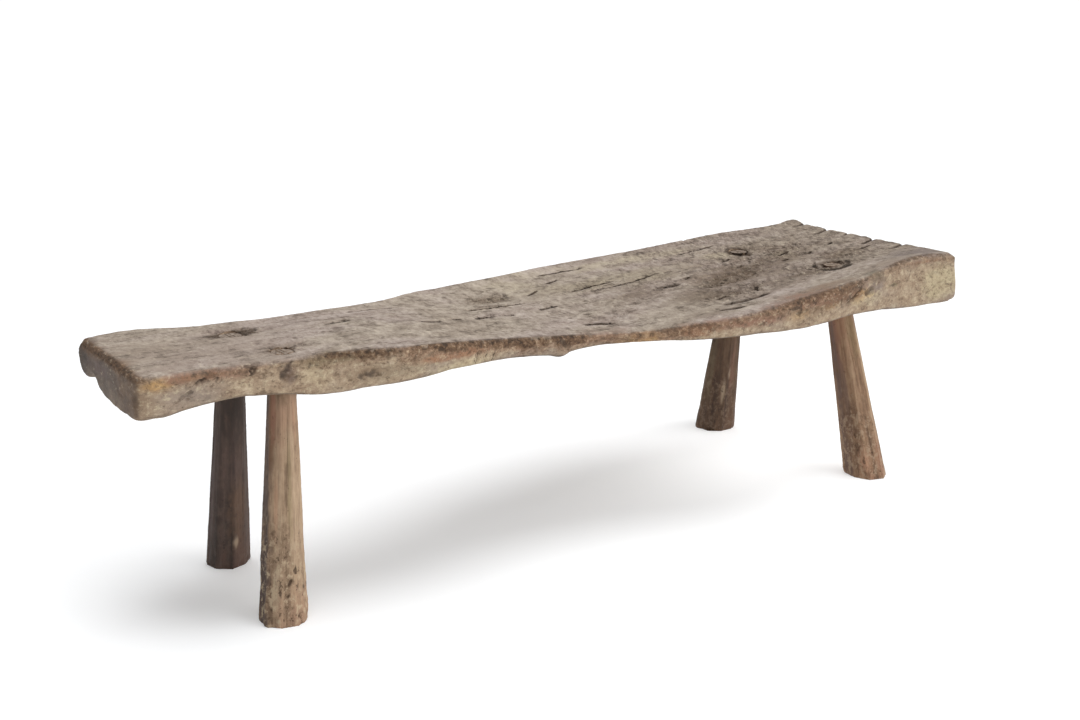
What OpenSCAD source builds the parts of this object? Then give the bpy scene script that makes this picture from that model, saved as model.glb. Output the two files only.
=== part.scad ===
// Staked bench: one hewn plank on four raked legs, whose wedged tenons come up through the seat.
// X runs along the plank towards its broad end, the front is at -Y, and the feet stand on Z = 0.
// All sizes are in millimetres.

/* [Plank] */
// Length of the plank
slab_len = 1740; // [1500:10:2000]
// Width at the narrow end
narrow_end_w = 263; // [230:1:320]
// Width of the swelling just behind the narrow end
head_w = 300; // [260:1:340]
// Width of the waist, over the legs of the narrow end
waist_w = 250; // [235:1:320]
// Width halfway along
middle_w = 362; // [300:1:450]
// Width of the broad part, over the legs of the broad end
broad_w = 508; // [420:1:580]
// Width where the plank draws in just before the broad end
broad_neck_w = 490; // [420:1:580]
// Width of the broad end itself
broad_end_w = 514; // [420:1:600]
// How much shorter the front corner of the broad end is than its back corner
broad_end_skew = 52; // [0:1:130]

/* [Plank heights] */
// Height of the seat over the legs
seat_h = 430; // [380:1:480]
// Thickness of the plank over the legs
slab_t = 70; // [55:1:90]
// How far the front edge sags below the seat, halfway along
front_sag = 50; // [0:1:52]
// How far the front edge rises above the seat at the broad end
front_rim = 27; // [0:1:40]
// How far the back edge rises above the seat at the broad end
back_rim = 20; // [0:1:40]
// Depth of the hollow worn in the broad part of the seat
dish = 17; // [0:1:22]
// How far the underside hangs lower at the front of the broad end
belly = 12; // [0:1:25]
// How far the underside is cut away under the front edge near the narrow end
arch = 15; // [0:1:20]
// How far the underside is cut away at the back of the narrow end
back_cut = 21; // [0:1:26]

/* [Plank wear] */
// Depth of the deepest hollow that rot has eaten into the seat
rot_deep = 6; // [0:0.5:9]

/* [Plank edges] */
// Radius worn on the long edges
arris_r = 11; // [3:0.5:16]
// Radius worn on the two ends
end_r = 15; // [4:0.5:20]
// How much further in the long sides are at the underside than at the top
batter = 6; // [0:0.5:15]

/* [Joints] */
// Diameter of the tenons
tenon_d = 38; // [30:0.5:40]
// Radial clearance of a tenon in its mortise
mortise_gap = 0.2; // [0.1:0.05:0.5]
// Clearance between a leg's shoulder and the underside
shoulder_gap = 0.2; // [0.1:0.05:0.5]
// How far the tenons end below the seat
tenon_sink = 1.5; // [0.5:0.5:5]
// Length of the wedges
wedge_len = 46; // [30:1:50]
// Thickness of the wedges at the top
wedge_t = 7; // [4:0.5:10]
// Thickness of the wedges at the tip
wedge_tip = 1.5; // [1:0.1:3]
// Clearance on each side of a wedge in its kerf
wedge_gap = 0.1; // [0.05:0.05:0.3]

/* [Front left leg] */
// From the narrow end to the tenon's centre
fl_inset = 243; // [180:1:320]
// From the centre line forward to the tenon's centre, in percent of half the waist
fl_off = 60; // [46:1:68]
// How far the foot is set towards the narrow end
fl_rake = 44; // [0:1:90]
// How far the foot is set outwards
fl_splay = 55; // [0:1:110]
// Width of the foot
fl_foot_w = 74; // [60:1:100]
// Width under the plank
fl_neck_w = 46; // [45:1:60]

/* [Back left leg] */
// From the narrow end to the tenon's centre
bl_inset = 218; // [180:1:320]
// From the centre line back to the tenon's centre, in percent of half the waist
bl_off = 53; // [46:1:68]
// How far the foot is set towards the narrow end
bl_rake = 0; // [0:1:90]
// How far the foot is set outwards
bl_splay = 72; // [0:1:110]
// Width of the foot
bl_foot_w = 77; // [60:1:100]
// Width under the plank
bl_neck_w = 48; // [45:1:60]

/* [Front right leg] */
// From the broad end to the tenon's centre
fr_inset = 260; // [200:1:380]
// From the centre line forward to the tenon's centre, in percent of half the broad part
fr_off = 37; // [30:1:62]
// How far the foot is set towards the broad end
fr_rake = 6; // [0:1:90]
// How far the foot is set outwards
fr_splay = 119; // [0:1:130]
// Width of the foot
fr_foot_w = 86; // [60:1:100]
// Width under the plank
fr_neck_w = 50; // [45:1:60]

/* [Back right leg] */
// From the broad end to the tenon's centre
br_inset = 311; // [200:1:380]
// From the centre line back to the tenon's centre, in percent of half the broad part
br_off = 52; // [30:1:62]
// How far the foot is set towards the broad end
br_rake = 22; // [0:1:90]
// How far the foot is set outwards
br_splay = 78; // [0:1:110]
// Width of the foot
br_foot_w = 84; // [60:1:100]
// Width under the plank
br_neck_w = 52; // [45:1:60]

/* [Hidden] */

underside_h = seat_h - slab_t;
mortise_r = tenon_d / 2 + mortise_gap;
// Share of the length at which the skew of the broad end sets in
skew_from = 0.88;
// Rings along the plank, points across its top and its underside, and steps in a worn edge
ring_steps = 58;
top_steps = 14;
under_steps = 5;
edge_steps = 3;
// Margin by which a cut runs past what it cuts
over = 25;
// Room left inside an edge that is thinner than its two worn radii
core_t = 1;
// Facets on a round tenon or mortise
round_fn = 64;

function mix(a, b, u) = a + (b - a) * u;

// The columns of a station of the plank
WIDTH = 1;
SWAY = 2;
FRONT = 3;
BACK = 4;
HOLLOW = 5;
BELLY_FRONT = 6;
BELLY_BACK = 7;
// Each station: its share of the length, the width, how far the middle lies back from the centre line,
// the front and back edges above the seat, the hollow between them, and the front and back of the
// underside above its flat
stations = [
    [0.00, narrow_end_w, 33, -7, 0, -3, -4, back_cut],
    [0.05, head_w, 38, -8, 0, -3, arch * 0.3, back_cut * 0.9],
    [0.09, mix(head_w, waist_w, 0.35), 22, -8, 0, -3, arch, back_cut * 0.6],
    [0.12, mix(head_w, waist_w, 0.7), 9, -8, 0, -4, arch * 0.6, back_cut * 0.4],
    [0.18, waist_w, -2, -9, 0, -4, -6, 4],
    [0.24, mix(waist_w, middle_w, 0.38), -11, front_sag * -0.2, 0, -3, 0, 4],
    [0.31, mix(waist_w, middle_w, 0.4), 1, front_sag * -0.42, -2, 0, 4, 4],
    [0.37, mix(waist_w, middle_w, 0.68), 30, front_sag * -0.68, -5, 2, 1, 4],
    [0.42, mix(waist_w, middle_w, 0.86), 33, front_sag * -0.83, -6, 3, -6, 4],
    [0.46, middle_w, 35, front_sag * -0.94, -7, 3, -2, 3],
    [0.53, mix(middle_w, broad_w, 0.36), 30, -front_sag, -5, 4, 0, 3],
    [0.61, mix(middle_w, broad_w, 0.88), 12, front_sag * -0.7, -2, 8, belly * -0.4, 2],
    [0.70, broad_w, 0, front_sag * -0.3, back_rim * 0.2, dish * 0.8, belly * -0.6, 2],
    [0.80, broad_w, 4, front_rim * 0.1, back_rim * 0.65, dish, belly * 0.05, 2],
    [0.88, mix(broad_w, broad_neck_w, 0.5), 14, front_rim * 0.85, back_rim * 0.85, dish, belly * -0.95, 2],
    [0.94, broad_neck_w, 9, front_rim, back_rim * 0.9, dish * 0.6, belly * -1.2, 2],
    [1.00, broad_end_w, 4, front_rim * 0.8, back_rim, dish * 0.15, belly * -0.8, 2]
];

// The columns of a hollow, and the hollows that rot has eaten into the seat: the place and the reach of
// each as shares of the length and of the width there, and its share of the full depth
ALONG = 0;
ACROSS = 1;
REACH_ALONG = 2;
REACH_ACROSS = 3;
DEEP = 4;
hollows = [
    [0.129, 0.70, 0.046, 0.14, 0.8],
    [0.436, 0.73, 0.056, 0.11, 0.65],
    [0.690, 0.30, 0.092, 0.14, 0.45],
    [0.733, 0.47, 0.098, 0.12, 1.0],
    [0.787, 0.59, 0.078, 0.15, 0.5],
    [0.822, 0.31, 0.070, 0.15, 0.4],
    [0.868, 0.62, 0.078, 0.22, 0.5],
    [0.897, 0.37, 0.070, 0.17, 0.35]
];

// The stretch of stations that holds share s, and the slope of column c at station k
function stretch(s, k = 0) = s <= stations[k + 1][0] || k == len(stations) - 2 ? k : stretch(s, k + 1);
function slope(k, c) =
    let (a = stations[max(k - 1, 0)], b = stations[min(k + 1, len(stations) - 1)])
    (b[c] - a[c]) / (b[0] - a[0]);
// Column c at share s, on a smooth curve through the stations
function along(s, c) =
    let (k = stretch(s), p = stations[k], q = stations[k + 1], h = q[0] - p[0], u = (s - p[0]) / h)
    (2 * u^3 - 3 * u^2 + 1) * p[c] + (u^3 - 2 * u^2 + u) * h * slope(k, c)
    + (3 * u^2 - 2 * u^3) * q[c] + (u^3 - u^2) * h * slope(k + 1, c);

// Heights of the seat and of the underside at share s, for v from 0 at the front edge to 1 at the back
function seat_z(s, v) =
    seat_h + mix(along(s, FRONT), along(s, BACK), v) - along(s, HOLLOW) * 4 * v * (1 - v);
// How far rot has eaten into the seat, from 0 to 1, and the height of the seat that it leaves
function rot(s, v) =
    max([for (h = hollows)
        let (r = ((s - h[ALONG]) / h[REACH_ALONG])^2 + ((v - h[ACROSS]) / h[REACH_ACROSS])^2)
        r < 1 ? h[DEEP] * (1 - r^2)^2 : 0]);
function top_z(s, v) = seat_z(s, v) - rot_deep * rot(s, v);
function under_z(s, v) =
    underside_h + along(s, BELLY_FRONT) * (1 - v)^3 + along(s, BELLY_BACK) * v^3;
// Where a point of the plan lies across the plank at share s
function across(s, y) = (y - along(s, SWAY)) / along(s, WIDTH) + 0.5;
// The X of a point at share s and place v across, on the skewed rings of the broad end
function plank_x(s, v) =
    (s - 0.5) * slab_len - broad_end_skew * (1 - v) * max(0, (s - skew_from) / (1 - skew_from));

// A quarter of a worn edge of radius r round the centre c, from angle a, with both its ends
function worn(c, r, a) =
    [for (i = [0 : edge_steps]) let (t = a + 90 * i / edge_steps) [c[0] + r * cos(t), c[1] + r * sin(t)]];
// Points on the seat or the underside between the worn edges, with neither end
function span(y0, y1, steps) = [for (i = [1 : steps - 1]) mix(y0, y1, i / steps)];
// Thickness of the front edge and of the back edge at share s
function front_t(s) = seat_z(s, 0) - under_z(s, 0);
function back_t(s) = seat_z(s, 1) - under_z(s, 1);
// The largest worn radius that fits an edge of thickness t, and an end at share s
function fit_r(t) = min(arris_r, (t - core_t) / 2);
function fit_end(s) = min(end_r, min(front_t(s), back_t(s)) / 3);

// The section of the plank at share s, drawn in by d all round: [Y, Z] points, back edge first
function section(s, d) =
    let (
        half = along(s, WIDTH) / 2 - d,
        front = along(s, SWAY) - half,
        back = along(s, SWAY) + half,
        rf = fit_r(front_t(s) - 2 * d),
        rb = fit_r(back_t(s) - 2 * d),
        top_b = back - rb,
        top_f = front + rf,
        low_f = front + batter + rf,
        low_b = back - batter - rb
    )
    concat(
        worn([top_b, seat_z(s, across(s, top_b)) - d - rb], rb, 0),
        [for (y = span(top_b, top_f, top_steps)) [y, top_z(s, across(s, y)) - d]],
        worn([top_f, seat_z(s, across(s, top_f)) - d - rf], rf, 90),
        worn([low_f, under_z(s, across(s, low_f)) + d + rf], rf, 180),
        [for (y = span(low_f, low_b, under_steps)) [y, under_z(s, across(s, y)) + d]],
        worn([low_b, under_z(s, across(s, low_b)) + d + rb], rb, 270)
    );

// The rings that round an end of worn radius r: [distance from the end, how far the section is drawn in]
function end_rings(r) =
    [for (i = [0 : edge_steps - 1]) let (a = 90 * i / edge_steps) [r * (1 - cos(a)), r * (1 - sin(a))]];
narrow_r = fit_end(0);
broad_r = fit_end(1);
narrow_rings = end_rings(narrow_r);
broad_rings = end_rings(broad_r);
// All rings of the plank: [share of the length, how far the section is drawn in]
rings = concat(
    [for (e = narrow_rings) [e[0] / slab_len, e[1]]],
    [for (i = [0 : ring_steps]) [mix(narrow_r, slab_len - broad_r, i / ring_steps) / slab_len, 0]],
    [for (i = [edge_steps - 1 : -1 : 0]) [1 - broad_rings[i][0] / slab_len, broad_rings[i][1]]]
);

// The plank before its mortises are bored
module blank() {
    m = len(section(0, 0));
    n = len(rings);
    points = [for (r = rings) for (p = section(r[0], r[1])) [plank_x(r[0], across(r[0], p[0])), p[0], p[1]]];
    walls = [for (i = [0 : n - 2]) for (j = [0 : m - 1])
        let (a = i * m + j, b = i * m + (j + 1) % m)
        each [[a, a + m, b + m], [a, b + m, b]]];
    caps = [[for (j = [0 : m - 1]) j], [for (j = [m - 1 : -1 : 0]) (n - 1) * m + j]];
    polyhedron(points = points, faces = concat(walls, caps), convexity = 6);
}

// The columns of a leg
TENON = 0;
FOOT = 1;
FOOT_W = 2;
NECK_W = 3;
FACETS = 4;
TURN = 5;
// The distance from the centre line at p percent of half the width w
function off_at(p, w) = p / 100 * w / 2;

// Each leg: its tenon's centre in the seat, its foot's centre, its widths at the foot and under the
// plank, the reach of its eight hewn corners as shares of the half width, and their turn
legs = [
    leg_at(-slab_len / 2 + fl_inset, -off_at(fl_off, waist_w), -fl_rake, -fl_splay, fl_foot_w, fl_neck_w,
           [1.02, 0.95, 1.04, 0.98, 1.03, 0.94, 1.02, 1.00], 14),
    leg_at(-slab_len / 2 + bl_inset, off_at(bl_off, waist_w), -bl_rake, bl_splay, bl_foot_w, bl_neck_w,
           [0.98, 1.03, 0.96, 1.02, 0.99, 1.04, 0.95, 1.03], 32),
    leg_at(slab_len / 2 - fr_inset, -off_at(fr_off, broad_w), fr_rake, -fr_splay, fr_foot_w, fr_neck_w,
           [1.03, 0.96, 1.00, 1.04, 0.95, 1.02, 1.01, 0.96], 5),
    leg_at(slab_len / 2 - br_inset, off_at(br_off, broad_w), br_rake, br_splay, br_foot_w, br_neck_w,
           [0.97, 1.03, 1.02, 0.95, 1.04, 0.97, 1.00, 1.03], 24)
];
function leg_at(x, y, rake, splay, foot_w, neck_w, facets, turn) =
    [[x, y, seat_over(x, y)], [x + rake, y + splay, 0], foot_w, neck_w, facets, turn];
// Height of the worn seat at a point of the plan
function seat_over(x, y) = let (s = x / slab_len + 0.5) top_z(s, across(s, y));

FRONT_LEFT = 0;
BACK_LEFT = 1;
FRONT_RIGHT = 2;
BACK_RIGHT = 3;

// Length of leg k's axis from the floor to the seat, and from the floor to the underside
function axis_len(k) = norm(legs[k][TENON] - legs[k][FOOT]);
function neck_at(k) = axis_len(k) * underside_h / legs[k][TENON][2];

// Stands its children on leg k's axis, with their Z up along it from the floor
module on_leg(k) {
    d = legs[k][TENON] - legs[k][FOOT];
    heading = atan2(d[1], d[0]);
    translate(legs[k][FOOT])
        rotate([0, acos(d[2] / norm(d)), heading])
            rotate([0, 0, -heading])
                children();
}

// The hewn shaft of leg k, run on past the floor and into the plank, where both are cut
module shaft(k) {
    taper = (legs[k][FOOT_W] - legs[k][NECK_W]) / neck_at(k);
    low_r = (legs[k][FOOT_W] + taper * over) / 2;
    high_r = (legs[k][NECK_W] - taper * over) / 2;
    sides = len(legs[k][FACETS]);
    on_leg(k)
        translate([0, 0, -over])
            linear_extrude(height = neck_at(k) + 2 * over, scale = high_r / low_r)
                polygon([for (i = [0 : sides - 1]) let (a = 360 * i / sides + legs[k][TURN])
                    low_r * legs[k][FACETS][i] * [cos(a), sin(a)]]);
}

// A block over the seat at leg k, down to a given distance below it
module above_seat(k, sink) {
    side = 2 * tenon_d + over;
    translate(legs[k][TENON] + [-side / 2, -side / 2, -sink])
        cube(side);
}

// A block under the floor at leg k's foot
module under_floor(k) {
    side = 2 * legs[k][FOOT_W] + over;
    translate(legs[k][FOOT] + [-side / 2, -side / 2, -side])
        cube(side);
}

// A taper in the end of leg k's tenon, across the grain of the plank, made thicker by grow on each
// side and longer by deep
module taper_in(k, grow, deep) {
    top = axis_len(k) + over;
    tip = axis_len(k) - tenon_sink - wedge_len;
    swell = (wedge_t - wedge_tip) / 2 / wedge_len;
    top_half = wedge_tip / 2 + swell * (top - tip) + grow;
    tip_half = wedge_tip / 2 + grow;
    on_leg(k)
        rotate([90, 0, 0])
            linear_extrude(height = tenon_d + over, center = true)
                polygon([[-tip_half, tip - deep], [tip_half, tip - deep], [top_half, top], [-top_half, top]]);
}

// The round tenon of leg k, from inside its shaft to past the seat
module tenon(k, r) {
    on_leg(k)
        translate([0, 0, neck_at(k) - over])
            cylinder(h = axis_len(k) - neck_at(k) + 2 * over, r = r, $fn = round_fn);
}

module leg(k) {
    difference() {
        union() {
            difference() {
                shaft(k);
                translate([0, 0, -shoulder_gap])
                    blank();
            }
            tenon(k, tenon_d / 2);
        }
        above_seat(k, tenon_sink);
        taper_in(k, wedge_gap, 2 * wedge_gap);
        under_floor(k);
    }
}

module wedge(k) {
    difference() {
        intersection() {
            tenon(k, tenon_d / 2);
            taper_in(k, 0, 0);
        }
        above_seat(k, tenon_sink);
    }
}

module slab() {
    color("#94877a")
        difference() {
            blank();
            for (k = [0 : len(legs) - 1])
                tenon(k, mortise_r);
        }
}

module leg_front_left() { color("#8a7256") leg(FRONT_LEFT); }
module leg_back_left() { color("#5c4c40") leg(BACK_LEFT); }
module leg_front_right() { color("#85705a") leg(FRONT_RIGHT); }
module leg_back_right() { color("#6b5646") leg(BACK_RIGHT); }
module wedge_front_left() { color("#7a6650") wedge(FRONT_LEFT); }
module wedge_back_left() { color("#6e5a48") wedge(BACK_LEFT); }
module wedge_front_right() { color("#7a6650") wedge(FRONT_RIGHT); }
module wedge_back_right() { color("#6e5a48") wedge(BACK_RIGHT); }

slab();
leg_front_left();
leg_back_left();
leg_front_right();
leg_back_right();
wedge_front_left();
wedge_back_left();
wedge_front_right();
wedge_back_right();
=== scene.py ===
"""The looks of the pig bench: a hewn, weathered plank on four raked legs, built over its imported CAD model.

Lists of marks are in millimetres, as the maker would measure them; everything else is in metres.
"""

import itertools
import math

import bmesh
import bpy
import numpy as np
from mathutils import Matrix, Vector


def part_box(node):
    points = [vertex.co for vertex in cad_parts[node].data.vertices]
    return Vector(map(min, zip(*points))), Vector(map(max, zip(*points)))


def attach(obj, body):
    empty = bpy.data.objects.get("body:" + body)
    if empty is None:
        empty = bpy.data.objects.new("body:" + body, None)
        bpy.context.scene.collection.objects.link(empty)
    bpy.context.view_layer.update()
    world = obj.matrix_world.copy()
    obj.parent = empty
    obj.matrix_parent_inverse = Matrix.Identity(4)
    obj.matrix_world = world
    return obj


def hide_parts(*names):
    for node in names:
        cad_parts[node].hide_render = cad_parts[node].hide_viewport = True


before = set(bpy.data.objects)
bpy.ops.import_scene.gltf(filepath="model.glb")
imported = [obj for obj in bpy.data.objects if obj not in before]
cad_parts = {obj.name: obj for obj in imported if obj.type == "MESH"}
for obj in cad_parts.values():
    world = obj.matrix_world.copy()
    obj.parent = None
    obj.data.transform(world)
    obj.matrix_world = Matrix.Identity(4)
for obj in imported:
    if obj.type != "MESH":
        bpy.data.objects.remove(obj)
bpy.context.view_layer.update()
SCENE = bpy.context.scene
MM = 0.001


# The camera and the studio


def set_camera():
    """Looks at the bench from where the photograph was taken."""
    lens = bpy.data.cameras.new("studio_camera")
    lens.sensor_width = 36.0
    lens.lens = 43.94
    lens.clip_end = 200.0
    camera = bpy.data.objects.new("studio_camera", lens)
    camera.location = (-1.4686, -1.9324, 0.9408)
    camera.rotation_euler = (math.pi / 2 - 0.26, 0.0, -0.6252)
    SCENE.collection.objects.link(camera)
    SCENE.camera = camera


def bare_tree(block):
    """The node tree of a material or a world, with nothing in it."""
    block.use_nodes = True
    block.node_tree.nodes.clear()
    return block.node_tree


def add_node(tree, kind, sockets=None, **settings):
    """A new node with its settings, and with a value or a link at each named or numbered socket."""
    node = tree.nodes.new("ShaderNode" + kind)
    for name, value in settings.items():
        setattr(node, name, value)
    for name, value in (sockets or {}).items():
        if isinstance(value, bpy.types.NodeSocket):
            tree.links.new(value, node.inputs[name])
        else:
            node.inputs[name].default_value = value
    return node


def set_world():
    """A white backdrop that the camera sees at full strength, and a weaker white light from all round."""
    world = bpy.data.worlds.new("studio_white")
    SCENE.world = world
    tree = bare_tree(world)
    white = (1.0, 1.0, 1.0, 1.0)
    seen = add_node(tree, "Background", {"Color": white, "Strength": 1.05})
    light = add_node(tree, "Background", {"Color": white, "Strength": 0.3})
    by_camera = add_node(tree, "LightPath").outputs["Is Camera Ray"]
    either = add_node(tree, "MixShader", {0: by_camera, 1: light.outputs[0], 2: seen.outputs[0]})
    add_node(tree, "OutputWorld", {"Surface": either.outputs[0]})


def hang_light(name, come_from, spread, power):
    """A far, soft light that comes from a direction; the spread is its width in degrees."""
    lamp = bpy.data.lights.new(name, "SUN")
    lamp.angle = math.radians(spread)
    lamp.energy = power
    light = bpy.data.objects.new(name, lamp)
    light.rotation_euler = (-Vector(come_from)).to_track_quat("-Z", "Y").to_euler()
    SCENE.collection.objects.link(light)


def hide_lamp_over(floor, name, place, size, power):
    """A wide low lamp that isn't seen itself and lights the floor alone: it thins out the shadow there."""
    lamp = bpy.data.lights.new(name, "AREA")
    lamp.shape = "RECTANGLE"
    lamp.size, lamp.size_y = size
    lamp.energy = power
    light = bpy.data.objects.new(name, lamp)
    light.location = place
    light.visible_camera = False
    SCENE.collection.objects.link(light)
    lit = bpy.data.collections.new("floor_that_" + name + "_lights")
    lit.objects.link(floor)
    light.light_linking.receiver_collection = lit


def lay_floor():
    """A wide white floor that glows a little, so that only the shadow under the bench shows."""
    bm = bmesh.new()
    bmesh.ops.create_grid(bm, x_segments=1, y_segments=1, size=60.0)
    mesh = bpy.data.meshes.new("studio_floor")
    bm.to_mesh(mesh)
    bm.free()
    floor = bpy.data.objects.new("studio_floor", mesh)
    SCENE.collection.objects.link(floor)
    paint = bpy.data.materials.new("floor_white")
    tree = bare_tree(paint)
    matt = add_node(tree, "BsdfDiffuse", {"Color": (0.79, 0.8, 0.812, 1.0)})
    glow = add_node(tree, "Emission", {"Strength": 0.25})
    both = add_node(tree, "AddShader", {0: matt.outputs[0], 1: glow.outputs[0]})
    add_node(tree, "OutputMaterial", {"Surface": both.outputs[0]})
    mesh.materials.append(paint)
    return floor


set_camera()
set_world()
floor = lay_floor()
hang_light("overhead_softbox", (0.05, 0.04, 1.0), 38.0, 1.95)
hang_light("front_right_softbox", (0.6, -0.65, 0.45), 60.0, 1.6)
hide_lamp_over(floor, "lamp_under_broad_end", (0.6, -0.02, 0.33), (0.5, 0.34), 1.2)
SCENE.view_settings.view_transform = "Standard"


# Smooth noise, and small helpers for the marks in the wood

_draw = np.random.default_rng(41)
_order = np.concatenate([_draw.permutation(256)] * 2)
_slopes = _draw.normal(size=(256, 3))
_slopes /= np.linalg.norm(_slopes, axis=1)[:, None]


def noise(places):
    """Smooth noise from about -1 to 1 at each place, with one wave to a unit."""
    cell = np.floor(places).astype(np.int64)
    part = places - cell
    fade = part * part * part * (part * (part * 6.0 - 15.0) + 10.0)
    total = np.zeros(len(places))
    for corner in itertools.product((0, 1), repeat=3):
        at = (cell + corner) & 255
        slope = _slopes[_order[_order[_order[at[:, 0]] + at[:, 1]] + at[:, 2]]]
        weight = np.prod(np.where(corner, fade, 1.0 - fade), axis=1)
        total += weight * np.einsum("ij,ij->i", slope, part - corner)
    return total * 1.5


def waves(places, size, shift=0.0, octaves=2):
    """Noise whose waves measure size (one number for each direction), with finer ones over them."""
    spots = places / np.asarray(size, float) + shift
    total = noise(spots)
    share = 0.5
    for _ in range(octaves - 1):
        spots = spots * 2.03 + 17.1
        total = total + share * noise(spots)
        share *= 0.5
    return total


def ease(value, low, high):
    """0 below low, 1 above high, and a smooth rise between them."""
    t = np.clip((value - low) / (high - low), 0.0, 1.0)
    return t * t * (3.0 - 2.0 * t)


def checks_at(a, b, checks, hold=0.35, fuller=1.0):
    """Checks along lines, for each point (a, b): how deep it lies in them, how far it is from the nearest
    line, in half widths and below 0 on one side of it, and how open that check is there."""
    depth = np.zeros(len(a))
    off = np.full(len(a), 9.0)
    wide = np.zeros(len(a))
    for half, deep, line in checks:
        half *= fuller
        line = np.asarray(line, float)
        low = line.min(0) - 8.0 * half
        high = line.max(0) + 8.0 * half
        near = np.nonzero((a > low[0]) & (a < high[0]) & (b > low[1]) & (b < high[1]))[0]
        p = np.stack([a[near], b[near]], 1)
        best = np.full(len(p), 1e9)
        side = np.ones(len(p))
        run = np.zeros(len(p))
        last = len(line) - 1
        for k in range(last):
            way = line[k + 1] - line[k]
            from_start = p - line[k]
            t = np.clip((from_start @ way) / (way @ way), 0.0, 1.0)
            gap = np.linalg.norm(from_start - t[:, None] * way, axis=1)
            closer = gap < best
            best[closer] = gap[closer]
            side[closer] = np.sign(from_start[:, 1] * way[0] - from_start[:, 0] * way[1])[closer]
            run[closer] = (k + t[closer]) / last
        close = np.clip(np.minimum(run, 1.0 - run) / hold, 0.0, 1.0) ** 0.5
        widths = best / half
        depth[near] = np.maximum(depth[near], deep * np.exp(-(widths**2)) * (0.25 + 0.75 * close))
        nearest = widths < np.abs(off[near])
        off[near[nearest]] = (side * widths)[nearest]
        wide[near[nearest]] = close[nearest]
    return depth, off, wide


def spot(a, b, at, reach, turn=0.0):
    """1 in the middle of an oval patch at a place, and 0 outside its reach. The turn is in degrees."""
    c, s = math.cos(math.radians(turn)), math.sin(math.radians(turn))
    u = ((a - at[0]) * c + (b - at[1]) * s) / reach[0]
    v = ((b - at[1]) * c - (a - at[0]) * s) / reach[1]
    return ease(1.0 - np.sqrt(u * u + v * v), 0.0, 0.7)


def off_middle(places, at, reach):
    """How far each place is off the middle of a round patch: 1 at its reach."""
    return np.linalg.norm((places - at) / reach, axis=1)


def round_from(turn, at):
    """How far round a leg one turn is from another, from -180 to 180 degrees."""
    return (turn - at + 180.0) % 360.0 - 180.0


# From a CAD node to a mesh that can be carved


def fine_copy(node, name, cell, rounds):
    """A new piece from a CAD node: its mesh merged, remeshed in even cells and rubbed smooth."""
    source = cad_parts[node].data
    bm = bmesh.new()
    bm.from_mesh(source)
    bmesh.ops.remove_doubles(bm, verts=bm.verts, dist=1e-5)
    mesh = bpy.data.meshes.new(name)
    bm.to_mesh(mesh)
    bm.free()
    piece = bpy.data.objects.new(name, mesh)
    SCENE.collection.objects.link(piece)
    remesh = piece.modifiers.new("even_cells", "REMESH")
    remesh.mode = "VOXEL"
    remesh.voxel_size = cell
    rub = piece.modifiers.new("rubbed", "SMOOTH")
    rub.factor = 0.5
    rub.iterations = rounds
    return settle(piece)


def settle(piece):
    """Makes the modifiers of a piece part of its mesh."""
    deps = bpy.context.evaluated_depsgraph_get()
    worked = bpy.data.meshes.new_from_object(piece.evaluated_get(deps))
    old = piece.data
    piece.modifiers.clear()
    piece.data = worked
    worked.name = piece.name
    bpy.data.meshes.remove(old)
    return piece


def points_of(mesh):
    """The places of a mesh's vertices and the directions they face."""
    places = np.empty(len(mesh.vertices) * 3, np.float32)
    mesh.vertices.foreach_get("co", places)
    facing = np.empty(len(mesh.vertices) * 3, np.float32)
    mesh.vertex_normals.foreach_get("vector", facing)
    return places.reshape(-1, 3).astype(float), facing.reshape(-1, 3).astype(float)


def move_points(mesh, places):
    mesh.vertices.foreach_set("co", places.astype(np.float32).ravel())
    mesh.update()


def keep_number(mesh, name, values):
    """Stores a number for each vertex, for the finish to read."""
    layer = mesh.attributes.new(name, "FLOAT", "POINT")
    layer.data.foreach_set("value", np.asarray(values, np.float32))


def keep_masks(mesh, **masks):
    """Stores a value from 0 to 1 for each vertex, under each of some names."""
    for name, values in masks.items():
        keep_number(mesh, name, np.clip(values, 0.0, 1.0))


def keep_stains(mesh, marks):
    """Lays stains over each other, and on the legs some patches of painted shade: each has a colour, how far
    off its middle each vertex is, and a share.
    """
    colour = np.zeros((len(mesh.vertices), 3))
    share = np.zeros(len(mesh.vertices))
    for paint, away, most in marks:
        new = most * ease(1.0 - away, 0.0, 0.75)
        kept = share * (1.0 - new)
        whole = np.maximum(kept + new, 1e-6)
        colour = (colour * kept[:, None] + np.array(tone(*paint)[:3]) * new[:, None]) / whole[:, None]
        share = kept + new
    layer = mesh.attributes.new("stain", "FLOAT_COLOR", "POINT")
    layer.data.foreach_set("color", np.column_stack([colour, share]).astype(np.float32).ravel())


def thin_out(piece, most):
    """Brings a piece down to a number of triangles, where it is flattest."""
    mesh = piece.data
    have = sum(len(p.vertices) - 2 for p in mesh.polygons)
    if have > most:
        thin = piece.modifiers.new("thinned", "DECIMATE")
        thin.ratio = most / have
        settle(piece)
    piece.data.shade_smooth()


def inside_box(places, node):
    """Keeps carved places inside the box of their CAD node."""
    low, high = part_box(node)
    return np.clip(places, np.array(low), np.array(high))


# Sizes of the CAD solids that the marks go by

# The height of the seat over the legs, the radius of the tenons, and how much of a leg its tenon takes
SEAT_H = 430.0
TENON_R = 19.0
TENON_LEN = 75.0
# The broad end: its back corner, how much shorter its front corner is, its edges, its top and its foot
BROAD_END_X = 868.0
BROAD_END_SKEW = 52.0
BROAD_FRONT_Y = -253.0
BROAD_BACK_Y = 261.0
CORNER_TOP_Z = 452.0
CORNER_FOOT_Z = 354.0
# How far in from its front the broad part of the seat stays smooth
BROAD_SMOOTH = 190.0
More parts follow.
